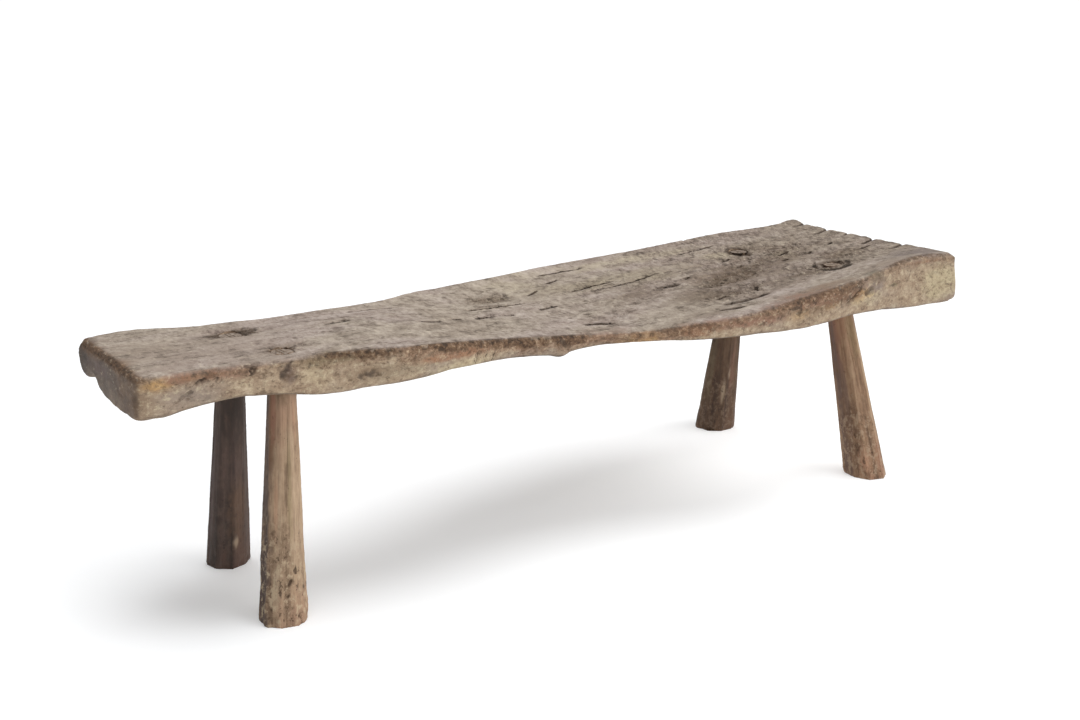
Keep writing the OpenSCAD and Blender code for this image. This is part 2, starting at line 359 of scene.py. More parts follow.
# The radii worn on the broad end: the top and the foot of its front half, its two corners seen from above,
# and the tip of its front corner above and below, with the way that this tip points
END_TOP_R = 14.0
END_FOOT_R = 18.0
BACK_CORNER_R = 26.0
FRONT_CORNER_R = 20.0
TIP_TOP_R = 28.0
TIP_FOOT_R = 12.0
TIP_WAY = (0.81, -0.59)
# The plank is looked at in lengths of one step, out to a little past its ends
STEP = 20.0
PAST_ENDS = 880.0


# The plank. Marks on the seat are (x, y), and marks on its front are (x, z)

# Open checks in the seat: half width, depth, and the line they follow
SEAT_CHECKS = [
    (5.6, 7.0, [(-330, -5), (-310, -7), (-290, -8)]),
    (5.2, 6.0, [(-268, 4), (-242, 9)]),
    (5.0, 6.0, [(-214, 4), (-197, 9), (-160, 14)]),
    (3.4, 4.0, [(-158, 12), (-127, 5)]),
    (3.4, 4.5, [(-60, 21), (-38, 24), (-12, 27)]),
    (5.1, 6.0, [(-42, -88), (-5, -91), (26, -100)]),
    (3.1, 3.5, [(-198, 55), (-144, 61), (-60, 65)]),
    (3.1, 3.5, [(-28, 104), (8, 122)]),
    (3.1, 3.5, [(48, 152), (90, 164)]),
    (3.4, 4.0, [(64, 89), (120, 97), (190, 106)]),
    (3.4, 4.5, [(100, 75), (165, 77), (214, 82), (256, 90), (306, 101)]),
    (5.8, 8.0, [(226, 18), (256, 17), (290, 23)]),
    (6.4, 11.0, [(248, -154), (282, -161), (320, -164), (364, -154)]),
    (5.4, 8.0, [(214, -175), (242, -187), (266, -193)]),
    (3.7, 5.0, [(262, -116), (292, -108)]),
    (4.4, 6.0, [(366, -122), (384, -98)]),
    (4.4, 6.0, [(312, 34), (338, 46)]),
    (2.6, 4.0, [(664, -146), (688, -156)]),
    (3.1, 4.0, [(-430, 90), (-370, 94), (-330, 92)]),
    (3.1, 4.0, [(420, 180), (480, 184), (540, 190)]),
    (3.4, 5.0, [(60, 200), (130, 207), (190, 206)]),
    (3.4, 4.0, [(-500, 30), (-450, 33)]),
    (3.4, 5.0, [(470, 92), (500, 98)]),
    (4.1, 5.0, [(466, 42), (492, 48)]),
    (4.1, 6.0, [(600, 52), (645, 66)]),
    (4.1, 6.0, [(572, 12), (600, 22)]),
    (4.1, 6.0, [(652, 14), (674, 26)]),
    (4.1, 6.0, [(735, 32), (756, 42)]),
    (4.1, 6.0, [(735, -56), (782, -46)]),
    (10.5, 3.0, [(566, -92), (570, -116), (588, -134), (608, -136), (624, -126)]),
    (4.0, 3.0, [(594, -58), (577, -76), (569, -94)]),
    (5.5, 3.0, [(616, -132), (634, -116), (640, -98)]),
    (8.5, 3.0, [(538, 150), (532, 132), (536, 114), (552, 102), (570, 100)]),
]

# Bites that the splits leave in the top edge of the broad end: place along the edge, width and depth
END_BITES = [
    (214, 26, 7.0), (176, 20, 5.0), (132, 30, 9.0), (98, 16, 6.0), (62, 24, 8.0), (20, 20, 6.0),
    (-14, 26, 9.0), (-62, 22, 6.0), (-104, 30, 8.0), (-150, 20, 5.0),
]

# Splits that run on from those bites into the seat
END_SPLITS = [
    (3.3, 6.0, [(868, 214), (838, 211), (806, 208)]),
    (4.2, 7.0, [(868, 132), (828, 130), (785, 126)]),
    (3.0, 5.0, [(868, 62), (836, 64), (818, 62)]),
    (3.9, 7.0, [(862, -14), (815, -17), (776, -24)]),
    (3.9, 7.0, [(852, -104), (800, -106), (764, -112)]),
]

# Small pits in the seat: place and radius
SEAT_PITS = [
    ((-40, -45), 5.0), ((-52, -66), 4.0), ((-365, -30), 4.0), ((-395, -60), 4.0), ((-275, -65), 4.0),
    ((-570, -25), 3.5), ((-740, 105), 3.5), ((-515, 10), 3.5), ((-468, 14), 3.5), ((30, 25), 4.0),
    ((52, 28), 4.0), ((105, 10), 5.0), ((88, -22), 5.0), ((120, -40), 5.0), ((160, 125), 4.0),
    ((122, 122), 4.0), ((265, 98), 4.5), ((60, 150), 4.0), ((690, -45), 6.0), ((655, -100), 5.0),
    ((618, 160), 6.0), ((640, 122), 5.0), ((540, -24), 5.0), ((585, 15), 5.0), ((745, 36), 4.5),
    ((-590, -112), 3.5), ((-604, -64), 4.5), ((-586, -56), 4.0), ((-640, -56), 4.5), ((205, -60), 4.0),
]

# Rotted, pitted patches of the seat: place, reach, turn, depth and how much the wood has crumbled
ROTTED = [
    ((-112, 114), (92, 34), 12, 3.0, 0.8),
    ((-140, 62), (90, 18), 3, 1.4, 0.6),
    ((110, 95), (110, 60), 10, 1.4, 0.5),
    ((250, 60), (140, 70), 10, 1.2, 0.5),
    ((405, -12), (165, 52), 10, 4.2, 1.0),
    ((330, -100), (160, 66), 5, 2.2, 0.75),
    ((500, 50), (130, 70), 8, 2.2, 0.8),
    ((640, 70), (130, 110), 5, 2.4, 0.9),
    ((690, -50), (120, 80), -8, 1.8, 0.85),
    ((560, -90), (120, 70), 0, 2.2, 0.85),
    ((560, 132), (80, 66), 0, 2.0, 0.8),
    ((-640, 52), (60, 42), 5, 3.4, 0.5),
    ((-612, -66), (60, 34), 0, 1.6, 0.4),
    ((40, -70), (120, 60), 5, 1.0, 0.4),
    ((160, 0), (190, 60), 6, 1.0, 0.4),
    ((780, 40), (70, 190), 0, 1.0, 0.5),
]

# Marks on the front: checks, and hollows
FRONT_CHECKS = [
    (1.2, 4.0, [(544, 430), (526, 417), (510, 407), (478, 385)]),
    (0.8, 3.0, [(-300, 392), (-303, 366)]),
    (0.8, 3.0, [(-282, 390), (-285, 364)]),
    (0.8, 3.0, [(-262, 388), (-266, 366)]),
]
FRONT_HOLLOWS = [
    ((-640, 405), (11, 22), -28, 4.0),
    ((-628, 391), (10, 9), 0, 3.0),
    ((-652, 411), (12, 6), 10, 2.5),
    ((-605, 406), (4, 8), 10, 2.5),
    ((-594, 405), (4, 6), 10, 2.5),
    ((634, 405), (22, 5), -8, 2.5),
    ((560, 405), (7, 9), 20, 3.5),
    ((-694, 413), (9, 8), 0, 5.0),
    ((-779, 405), (7, 6), 0, 5.0),
    ((-754, 407), (5, 4), 0, 3.0),
    ((-121, 376), (18, 12), -40, 3.5),
    ((-506, 382), (30, 9), 8, 2.5),
    ((553, 405), (26, 15), 10, 3.0),
    ((-796, 388), (20, 6), 10, 2.5),
    ((395, 384), (50, 10), 4, 2.0),
]

# How far the back edge of the seat stands up, and how far the front edge sags below: place and distance
BACK_RISE = [
    (-870, 4.0), (-850, 1.5), (-780, 0.0), (-690, 0.5), (-620, 3.5), (-530, 3.0), (-440, 1.5),
    (-350, 2.0), (-270, 4.5), (-190, 2.0), (-100, 6.0), (0, 5.0), (110, 4.0), (220, 2.0),
    (340, 2.5), (620, 2.0), (680, 1.5), (760, 3.0), (830, 5.5), (868, 4.0),
]
FRONT_SAG = [
    (-860, 0.0), (-730, 1.0), (-690, 3.0), (-560, 3.0), (-520, 1.0), (-480, 2.5), (-420, 1.5),
    (-360, 1.0), (-310, 2.5), (-240, 3.5), (-170, 3.0), (-110, 4.5), (-80, 3.0), (-40, 0.5),
    (0, 2.5), (50, 4.5), (130, 5.5), (180, 3.5), (260, -1.0), (330, 1.5), (390, 4.5),
    (540, 3.5), (620, 1.5), (700, 2.0), (800, 0.5),
]

# How strong the worn band below the front edge is, from the narrow end to the broad one: place and strength
BAND_ALONG = [
    (-880, 0.1), (-800, 0.1), (-770, 0.35), (-700, 0.35), (-660, 0.15), (-600, 0.25), (-575, 0.85),
    (-480, 0.85), (-450, 0.5), (-410, 0.9), (-90, 0.8), (-40, 0.3), (50, 0.3), (85, 0.5),
    (150, 0.45), (180, 0.2), (300, 0.35), (350, 0.7), (500, 0.6), (535, 0.1), (600, 0.0),
    (640, 0.6), (740, 0.6), (830, 0.5),
]

# Lumps that stand proud of the CAD solid, inside its box, and hollows in it: place, reach and height
LUMPS = [
    ((-866, 172, 402), (30, 44, 24), 8.0),
    ((-868, 104, 372), (34, 30, 18), -8.0),
    ((-866, 140, 386), (30, 26, 24), 6.0),
    ((-864, 20, 364), (40, 90, 26), 8.0),
    ((-864, -50, 358), (40, 50, 26), 5.0),
    ((-842, -80, 366), (60, 60, 30), 6.0),
    ((-124, -133, 354), (26, 22, 14), 4.5),
    ((745, -228, 350), (100, 50, 24), 3.0),
    ((-560, -118, 368), (90, 40, 20), 4.5),
    ((800, -246, 384), (90, 60, 44), 4.0),
    ((842, 240, 450), (40, 40, 24), 3.0),
    ((-850, -60, 360), (30, 60, 20), -3.0),
]

# Colours of the stains, and of the last two, which paint shade on the legs, as read off a screen
OCHRE = (204, 160, 98)
RUST = (150, 100, 68)
RED_BROWN = (142, 102, 84)
BROWN = (116, 88, 66)
MOSS = (116, 104, 78)
PALE = (200, 184, 150)
SLATE = (136, 124, 118)
PLUM = (98, 80, 76)
UMBER = (104, 87, 70)
STRAW = (184, 171, 146)
KHAKI = (160, 147, 124)
TAUPE = (152, 136, 122)
DUSK = (74, 64, 58)
HAZEL = (140, 121, 104)
SHALE = (120, 108, 104)
LICHEN = (118, 109, 92)
ROSE = (186, 142, 114)
OLIVE = (146, 130, 94)
SAND = (186, 160, 128)
SCAB = (190, 168, 142)
UNDER_SEAT_SHADE = (52, 45, 40)
LEFT_SIDE_SHADE = (82, 67, 61)

# Stains of the plank: colour, place, reach in each direction, and strength
STAINS = [
    (OCHRE, (-842, -102, 409), (34, 50, 14), 0.75),
    (RED_BROWN, (-812, -110, 414), (26, 40, 10), 0.8),
    (RUST, (-770, -112, 416), (50, 40, 9), 0.7),
    (RED_BROWN, (-715, -120, 414), (60, 40, 12), 0.6),
    (DUSK, (-868, 142, 404), (34, 44, 56), 1.0),
    (PLUM, (-868, 60, 404), (24, 90, 20), 0.6),
    (BROWN, (-860, -60, 390), (30, 110, 60), 0.45),
    (PALE, (-590, -123, 394), (40, 50, 30), 0.35),
    (MOSS, (-560, -130, 414), (130, 50, 12), 0.7),
    (KHAKI, (-450, -150, 382), (110, 50, 22), 0.5),
    (TAUPE, (-790, -110, 386), (70, 50, 22), 0.45),
    (RUST, (-350, -150, 392), (110, 50, 12), 0.75),
    (PALE, (-340, -131, 368), (130, 50, 16), 0.6),
    (SLATE, (-200, -130, 366), (120, 50, 22), 0.4),
    (RED_BROWN, (-60, -150, 378), (120, 50, 12), 0.5),
    (OCHRE, (31, -164, 369), (60, 50, 14), 0.6),
    (RUST, (133, -211, 379), (60, 60, 12), 0.7),
    (RED_BROWN, (230, -240, 384), (130, 70, 14), 0.85),
    (OCHRE, (351, -251, 385), (46, 50, 16), 0.3),
    (OCHRE, (432, -252, 392), (40, 50, 10), 0.3),
    (OCHRE, (540, -248, 402), (50, 50, 20), 0.7),
    (BROWN, (380, -250, 396), (150, 60, 18), 0.6),
    (SLATE, (575, -243, 412), (36, 40, 20), 0.75),
    (MOSS, (560, -244, 404), (12, 40, 11), 0.8),
    (MOSS, (634, -236, 405), (26, 40, 7), 0.8),
    (PALE, (558, -242, 388), (60, 50, 16), 0.5),
    (BROWN, (440, -244, 418), (160, 30, 14), 0.7),
    (LICHEN, (572, -244, 430), (40, 40, 20), 0.9),
    (BROWN, (680, -240, 438), (90, 40, 10), 0.4),
    (PALE, (770, -240, 396), (64, 60, 46), 0.85),
    (RUST, (730, -240, 442), (90, 60, 4), 0.5),
    (HAZEL, (430, -225, 421), (220, 30, 22), 0.9),
    (TAUPE, (640, -215, 445), (160, 30, 20), 0.7),
    (TAUPE, (-700, 0, 425), (170, 160, 20), 0.45),
    (TAUPE, (-810, 20, 425), (80, 130, 20), 0.6),
    (SHALE, (760, -190, 452), (110, 66, 34), 0.85),
    (UMBER, (380, -20, 410), (120, 60, 24), 0.6),
    (UMBER, (300, -30, 408), (90, 50, 24), 0.4),
    (UMBER, (500, -40, 415), (90, 50, 24), 0.5),
    (LICHEN, (-652, 62, 424), (60, 24, 20), 0.7),
    (STRAW, (250, 200, 430), (330, 40, 24), 0.6),
    (STRAW, (-30, 165, 420), (90, 40, 24), 0.4),
    (KHAKI, (60, 110, 414), (200, 60, 24), 0.5),
    (KHAKI, (300, 110, 414), (160, 60, 24), 0.5),
    (UMBER, (-112, 112, 412), (60, 26, 24), 0.55),
    (UMBER, (170, 10, 410), (90, 60, 24), 0.6),
    (UMBER, (250, -80, 405), (130, 60, 24), 0.6),
    (UMBER, (440, 20, 410), (120, 60, 24), 0.8),
    (UMBER, (560, 20, 420), (110, 60, 30), 0.65),
    (UMBER, (430, -110, 412), (120, 50, 24), 0.5),
    (UMBER, (530, -100, 424), (70, 40, 24), 0.45),
    (UMBER, (650, 90, 424), (60, 50, 24), 0.4),
    (UMBER, (690, -50, 432), (90, 60, 30), 0.4),
    (UMBER, (610, 150, 424), (70, 30, 24), 0.35),
    (UMBER, (150, -175, 398), (200, 30, 20), 0.4),
    (STRAW, (620, 60, 424), (40, 24, 24), 0.4),
    (STRAW, (500, 130, 424), (60, 30, 24), 0.5),
    (PLUM, (-637, -118, 402), (20, 50, 24), 0.85),
    (BROWN, (-500, -130, 384), (60, 50, 14), 0.5),
    (RED_BROWN, (400, -250, 408), (150, 60, 16), 0.7),
    (BROWN, (470, -250, 408), (90, 60, 18), 0.6),
    (UMBER, (840, -60, 444), (60, 120, 30), 0.35),
    (BROWN, (-868, 110, 424), (30, 70, 16), 0.6),
    (PLUM, (-560, 150, 400), (110, 60, 22), 0.5),
    (SLATE, (-330, 170, 392), (160, 60, 22), 0.5),
    (BROWN, (-120, 200, 396), (90, 60, 18), 0.6),
    (KHAKI, (80, 240, 392), (190, 60, 30), 0.5),
    (RED_BROWN, (260, 250, 408), (160, 60, 14), 0.6),
    (PLUM, (470, 250, 398), (60, 60, 26), 0.6),
    (SLATE, (660, 255, 404), (150, 60, 30), 0.5),
    (BROWN, (840, 240, 420), (70, 60, 30), 0.5),
    (DUSK, (856, 60, 400), (40, 120, 24), 0.5),
    (PLUM, (840, -120, 392), (40, 90, 26), 0.5),
    (BROWN, (-868, -10, 424), (30, 90, 12), 0.6),
]

# The legs. Each has the middle of its foot and of its tenon, and then for the seat round the tenon: on which
# side (in degrees), how wide and how deep it has worn, how dark the painted shade is in that worn ring and
# on the tenon's side just below its end, how far it has closed on the tenon, the hollow that the tenon
# stands in, with its depth and the darkness of the painted shade in it, and how low the tenon's end has
# worn.
# The rest is for the leg alone: half its width at the foot and at the neck, how much crust its foot has, its
# broad flats (the turn and how far out), where it is fuller (the turn, how high up and how far out), its
# checks as (turn, height along it), how strong its grain lines are, its stains (colour, turn, height, reach
# in both, strength), and its tones: dark, middle, light and warm wood, pale crust and dark crust
LEGS = {
    "leg_front_left": dict(
        foot=(-671, -130), tenon=(-627, -75), worn_side=200, worn=1.0, worn_deep=0.5, ring=0.0, closed=3.5,
        hollow=(46, 30), hollow_deep=1.0, dark=0.12, low=0.6,
        widths=(37, 23), crust=1.0, flats=[(-112, 0.9), (-190, 0.94), (-66, 0.93), (20, 0.93), (100, 0.93)],
        fuller=[(144, 440, 6.0), (-36, 120, 3.5), (-150, 60, 4.0)],
        checks=[(1.2, 1.0, [(-96, 330), (-98, 230)]), (2.4, 3.0, [(60, 330), (64, 160)])],
        lines=0.3,
        stains=[
            # the first stain, a dark strip down the whole of the leg's left side, is painted shade
            (LEFT_SIDE_SHADE, 168, 200, 46, 700, 1.0), (BROWN, 196, 320, 28, 110, 0.9),
            (RED_BROWN, -154, 330, 16, 60, 0.6), (ROSE, -62, 320, 14, 60, 0.35),
            (ROSE, -140, 190, 12, 80, 0.4), (OLIVE, -92, 220, 12, 110, 0.45),
            (SAND, -80, 60, 40, 60, 0.25), (SCAB, -140, 60, 16, 40, 0.5),
        ],
        tones=[
            (116, 94, 74), (159, 134, 109), (182, 157, 130), (164, 132, 108), (188, 167, 139), (74, 56, 42),
        ],
    ),
    "leg_back_left": dict(
        foot=(-652, 138), tenon=(-652, 66), worn_side=-70, worn=6.0, worn_deep=1.0, ring=0.2, closed=2.5,
        hollow=(74, 30), hollow_deep=2.0, dark=0.4, low=0.0,
        widths=(38, 24), crust=0.2, flats=[(-120, 0.9), (-188, 0.9), (-60, 0.93), (30, 0.93), (110, 0.93)],
        fuller=[(144, 400, 3.0)],
        checks=[(2.0, 1.5, [(-60, 200), (-64, 60)]), (3.0, 3.0, [(110, 300), (104, 120)])],
        lines=0.12,
        stains=[
            # the first stain darkens the top of the leg, under the seat: painted shade
            (UNDER_SEAT_SHADE, -110, 360, 120, 150, 0.8), (PLUM, 172, 170, 30, 150, 0.3),
            (PLUM, -100, 220, 16, 90, 0.25), (BROWN, -80, 110, 50, 90, 0.4), (SCAB, -92, 58, 10, 16, 0.5),
        ],
        # darker tones than the front legs': painted shade, for this back leg stands in the bench's shade
        tones=[(60, 49, 43), (80, 65, 58), (95, 78, 70), (90, 69, 59), (116, 102, 91), (44, 36, 31)],
    ),
    "leg_front_right": dict(
        foot=(616, -213), tenon=(610, -94), worn_side=245, worn=8.0, worn_deep=4.0, ring=1.0, closed=0.0,
        hollow=(50, 44), hollow_deep=2.0, dark=0.3, low=0.5,
        widths=(43, 25), crust=0.75, flats=[(-108, 0.9), (-178, 0.92), (-46, 0.93), (30, 0.93), (110, 0.93)],
        fuller=[(144, 200, 2.5)],
        checks=[(1.2, 1.0, [(-120, 330), (-117, 220)]), (3.0, 3.0, [(40, 300), (46, 140)])],
        lines=0.2,
        stains=[
            (OLIVE, -100, 300, 28, 80, 0.4), (SAND, -112, 340, 22, 60, 0.5), (SAND, -66, 260, 26, 140, 0.6),
            # the first stain here, a dark strip down most of the leg's left side, is painted shade
            (PLUM, 168, 240, 32, 500, 0.8), (PLUM, -164, 170, 14, 110, 0.5),
            (RED_BROWN, -176, 300, 20, 100, 0.5), (ROSE, -138, 30, 26, 40, 0.6),
            (BROWN, 178, 120, 20, 120, 0.5), (MOSS, -44, 90, 22, 160, 0.7),
        ],
        tones=[
            (108, 83, 64), (152, 121, 95), (176, 147, 118), (156, 118, 94), (182, 158, 132), (84, 63, 48),
        ],
    ),
    "leg_back_right": dict(
        foot=(581, 210), tenon=(559, 132), worn_side=215, worn=8.0, worn_deep=4.0, ring=1.0, closed=0.0,
        hollow=(46, 40), hollow_deep=2.0, dark=0.3, low=0.8,
        widths=(42, 26), crust=0.5, flats=[(-92, 0.9), (-158, 0.9), (-30, 0.93), (50, 0.93), (130, 0.93)],
        fuller=[(144, 340, 7.0), (-36, 260, 6.0)],
        checks=[(1.6, 1.2, [(-70, 240), (-66, 100)]), (3.0, 3.0, [(80, 330), (84, 150)])],
        lines=0.15,
        stains=[
            (BROWN, -100, 300, 24, 110, 0.5), (MOSS, 172, 150, 24, 120, 0.4), (SCAB, -122, 110, 12, 40, 0.6),
            (SCAB, -104, 150, 8, 20, 0.5), (RED_BROWN, -90, 160, 18, 90, 0.4),
        ],
        # darker tones than the front legs': painted shade, for this back leg stands in the bench's shade
        tones=[(72, 54, 42), (92, 71, 55), (110, 88, 70), (98, 74, 57), (146, 124, 104), (52, 40, 31)],
    ),
}


def round_off(across, along, radius):
    """Takes two distances from the faces that meet at a corner, and gives them on a rounded corner."""
    u = radius - across
    v = radius - along
    far = np.hypot(u, v)
    out = (u > 0.0) & (v > 0.0) & (far > radius) & (radius > 1.0)
    share = np.where(out, radius / np.maximum(far, 1e-6), 1.0)
    return radius - u * share, radius - v * share


def wear_corners(mm):
    """Rounds the two corners of the broad end, which hands and weather have worn more than the rest."""
    x, y, z = mm.T
    skew = BROAD_END_SKEW * np.clip((BROAD_BACK_Y - y) / (BROAD_BACK_Y - BROAD_FRONT_Y), 0.0, 1.0)
    end_at = BROAD_END_X - skew
    # the front one, seen from the front: its top and its foot
    tall = ease(-y, 90.0, 215.0)
    from_end, from_top = round_off(end_at - x, CORNER_TOP_Z - z, END_TOP_R * tall)
    x, z = end_at - from_end, CORNER_TOP_Z - from_top
    from_end, from_foot = round_off(end_at - x, z - CORNER_FOOT_Z, END_FOOT_R * tall)
    x, z = end_at - from_end, CORNER_FOOT_Z + from_foot
    # both of them, seen from above
    near = np.where(x > 700.0, 1.0, 0.0)
    from_end, from_back = round_off(end_at - x, BROAD_BACK_Y - y, BACK_CORNER_R * near)
    x, y = end_at - from_end, BROAD_BACK_Y - from_back
    from_end, from_front = round_off(end_at - x, y - BROAD_FRONT_Y, FRONT_CORNER_R * near)
    x, y = end_at - from_end, BROAD_FRONT_Y + from_front
    # the tip of the front one, which is fuller towards its foot and worn round at its top and its foot
    reach = x * TIP_WAY[0] + y * TIP_WAY[1]
    near = ease(reach, 740.0, 790.0)
    fuller = reach + 6.0 * near * ease(438.0 - z, 0.0, 60.0)
    tip = fuller.max()
    tip_top = z[fuller > tip - 14.0].max()
    at_tip = ease(fuller, tip - 34.0, tip - 14.0)
    from_tip, from_top = round_off(tip - fuller, tip_top - z, TIP_TOP_R * at_tip)
    z = tip_top - from_top
    from_tip, from_foot = round_off(from_tip, z - CORNER_FOOT_Z, TIP_FOOT_R * near)
    z = CORNER_FOOT_Z + from_foot
    moved = tip - from_tip - reach
    x, y = x + TIP_WAY[0] * moved, y + TIP_WAY[1] * moved
    # the bites in its top edge
    bite = np.zeros(len(x))
    for at, wide, deep in END_BITES:
        along = (y - at) / wide
        saw = np.where((along > -0.25) & (along < 1.0), np.minimum(4.0 * along + 1.0, 1.0 - along), 0.0)
        bite = np.maximum(bite, deep * saw)
    bite *= ease(z, 405.0, 440.0) * ease(x - end_at, -26.0, -4.0)
    return np.stack([x - bite, y, z], 1), bite


def along_plank(x, values, gather):
    """Gathers the values of the points in each short length of the plank, and says where the lengths are."""
    steps = np.arange(-PAST_ENDS, PAST_ENDS + 1.0, STEP)
    here = np.digitize(x, steps)
    lengths = [k for k in range(1, len(steps)) if np.any(here == k)]
    return steps[lengths] - STEP / 2.0, np.array([gather(values[here == k]) for k in lengths])


class PlankFace:
    """The points of the plank in millimetres, which way each one faces, and how it has been worn."""

    def __init__(self, mesh):
        places, self.facing = points_of(mesh)
        self.mm = places / MM
        self.x, self.y, self.z = self.mm.T
        self.face_x, self.face_y, self.face_z = self.facing.T
        self.up = ease(self.face_z, 0.35, 0.8)
        self.under = ease(-self.face_z, 0.35, 0.8)
        self.end = ease(np.abs(self.face_x), 0.55, 0.85)
        self.front = ease(-self.face_y, 0.4, 0.8)
        self.side = np.clip(1.0 - self.up - self.under, 0.0, 1.0)
        # the wavering of lines that would otherwise be too straight
        self.sway = self.waves((60, 30, 30), 3.0)
        self.fray = self.waves((11, 7, 7), 8.0)
        self.sx = self.x + 6.0 * self.sway + 3.0 * self.fray
        self.sy = self.y + 3.5 * self.sway + 1.6 * self.fray
        self.sz = self.z + 2.5 * self.sway + 2.0 * self.fray
        # what the carving adds to, first of all how far the wood lies below the CAD faces
        self.depth = np.zeros(len(self.x))
        self.crumbled = 0.12 * self.up + 0.2 * self.front
        # how much painted shade lies in the worn rings and hollows round the tenons
        self.dark_round = np.zeros(len(self.x))
        self.moved = np.zeros((len(self.x), 3))

    def waves(self, size, shift, octaves=2):
        return waves(self.mm, size, shift, octaves)

    def crumble(self, amount):
        """Notes how much the wood has crumbled, for the finish to read."""
        self.crumbled = np.maximum(self.crumbled, amount)


def hew(p):
    """Hews the sides, the underside and the ends, and furrows every face along its grain."""
    p.depth += 0.1 + 0.9 * p.waves((150, 60, 60), 1.0)
    p.depth += p.up * 0.5 * np.abs(p.waves((90, 9, 30), 5.0))
    hewn = np.abs(p.waves((85, 55, 40), 12.0, 1))
    p.depth += (p.side + p.under) * (0.5 - 2.0 * hewn)
    p.depth += p.under * 0.7 * np.abs(p.waves((70, 8, 30), 15.0))
    p.depth += p.front * 0.8 * np.abs(p.waves((60, 30, 7), 19.0))
    p.depth += p.front * 1.3 * p.waves((26, 20, 16), 21.0)
    p.depth += p.end * (0.1 + 1.2 * np.abs(p.waves((30, 26, 5), 23.0)))


def rot_seat(p):
    """Sinks the rotted patches of the seat, with small pits that lie along the grain."""
    broad_part = ease(p.x, 60.0, 420.0)
    rot = np.zeros(len(p.x))
    for at, reach, turn, deep, crumb in ROTTED:
        patch = spot(p.sx, p.sy, at, reach, turn)
        rot = np.maximum(rot, deep * patch)
        p.crumble(crumb * patch * p.up)
    p.crumble(0.5 * broad_part * p.up * ease(BROAD_SMOOTH + p.y, 0.0, 60.0))
    p.rot = rot * p.up
    cells = p.waves((15, 9, 12), 31.0)
    fine = p.waves((8, 5, 6), 37.0)
    p.pitted = ease(cells + 0.5 * fine, -0.1, 0.75)
    p.depth += p.rot * 0.9 * p.pitted
    p.depth += p.crumbled * p.up * 0.9 * (cells + 0.8 * fine)
    p.scattered = p.up * ease(p.waves((22, 9, 12), 43.0) + 0.3 * fine, 0.62, 1.0)
    p.depth += p.scattered * (1.0 + 1.4 * broad_part)


def cut_checks(p):
    """Cuts the checks, the splits and single pits of the seat, and the checks and hollows of the front."""
    p.cut, p.off, p.wide = checks_at(p.sx, p.sy, SEAT_CHECKS + END_SPLITS, fuller=1.15)
    on_top = ease(p.face_z, 0.0, 0.5)
    p.cut *= on_top
    p.wide *= on_top
    for at, radius in SEAT_PITS:
        p.cut = np.maximum(p.cut, p.up * 5.0 * spot(p.sx, p.sy, at, (radius * 1.6, radius)))
    front_cut, front_off, front_wide = checks_at(p.sx, p.sz, FRONT_CHECKS)
    p.cut = np.maximum(p.cut, p.front * front_cut)
    p.off = np.where(on_top > 0.0, p.off, front_off)
    p.wide = np.where(on_top > 0.0, p.wide, p.front * front_wide)
    for at, reach, turn, deep in FRONT_HOLLOWS:
        patch = spot(p.sx + 5.0 * p.fray, p.sz + 4.0 * p.fray, at, reach, turn)
        p.cut = np.maximum(p.cut, p.front * deep * patch)


def cut_round_tenons(p):
    """Wears ragged hollows round the tenons, closes the wood on them, and notes the painted shade in those
    hollows.
    """
    ring = np.zeros(len(p.x))
    for leg in LEGS.values():
        tenon_x, tenon_y = leg["tenon"]
        out = np.hypot(p.x - tenon_x, p.y - tenon_y)
        side_of = np.arctan2(p.y - tenon_y, p.x - tenon_x)
        lean = 0.5 + 0.5 * np.cos(side_of - math.radians(leg["worn_side"]))
        width = leg["worn"] * lean + 3.0 * p.fray + 2.0 * p.sway
        worn = ease(TENON_R + width - out, 0.0, 6.0)
        ring = np.maximum(ring, worn * leg["worn_deep"] * (0.25 + lean))
        # painted shade in the worn ring, on its worn side
        p.dark_round = np.maximum(p.dark_round, leg["ring"] * worn * ease(lean, 0.4, 0.8))
        # the wood has closed on the tenon at the top of its mortise
        near = ease(TENON_R + 6.0 - out, 0.0, 4.0) * ease(p.z, SEAT_H - 34.0, SEAT_H - 22.0)
        inward = np.stack([tenon_x - p.x, tenon_y - p.y], 1) / np.maximum(out, 1.0)[:, None]
        p.moved[:, :2] += inward * (near * leg["closed"])[:, None]
        patch = spot(p.sx, p.sy, leg["tenon"], leg["hollow"], 4.0)
        ring = np.maximum(ring, leg["hollow_deep"] * patch * (0.5 + 0.6 * p.pitted))
        p.crumble(patch * p.up)
        # painted shade in the hollow that the tenon stands in
        p.dark_round = np.maximum(p.dark_round, leg["dark"] * patch * (out > TENON_R - 6.0 * lean))
    p.cut = np.maximum(p.cut, ring * ease(p.face_z, 0.0, 0.5))
    p.depth += p.cut


def rub_edges(p):
    """Rubs down the long edges, with small bites out of them, and adds the lumps."""
    arris = ease(p.face_z, 0.12, 0.6) * ease(-p.face_y, 0.12, 0.55)
    back_arris = ease(p.face_z, 0.12, 0.6) * ease(p.face_y, 0.12, 0.55)
    low_arris = ease(-p.face_z, 0.12, 0.6) * p.side
    bites = ease(p.waves((26, 18, 18), 51.0), 0.25, 0.9)
    p.depth += (arris + back_arris) * (3.0 * bites + 1.2 * np.abs(p.fray))
    p.depth += low_arris * 2.2 * bites
    for at, reach, height in LUMPS:
        p.depth -= height * ease(1.0 - off_middle(p.mm, at, reach), 0.0, 0.8)


def raise_lips(p):
    """Raises the lips of the back edge and of the broad end, and lets the front edge sag."""
    far_back = np.interp(p.x, *along_plank(p.x, p.y, np.max))
    far_front = np.interp(p.x, *along_plank(p.x, p.y, np.min))
    lip = np.interp(p.x, *np.array(BACK_RISE).T) * ease(36.0 - (far_back - p.y), 0.0, 30.0)
    lip = np.maximum(lip, 2.5 * ease(p.x, 790.0, 830.0)) * ease(p.face_z, -0.3, 0.4)
    sag = np.interp(p.x, *np.array(FRONT_SAG).T) * ease(36.0 - (p.y - far_front), 0.0, 30.0)
    p.moved[:, 2] += lip - sag * ease(-p.face_z, -0.3, 0.4)


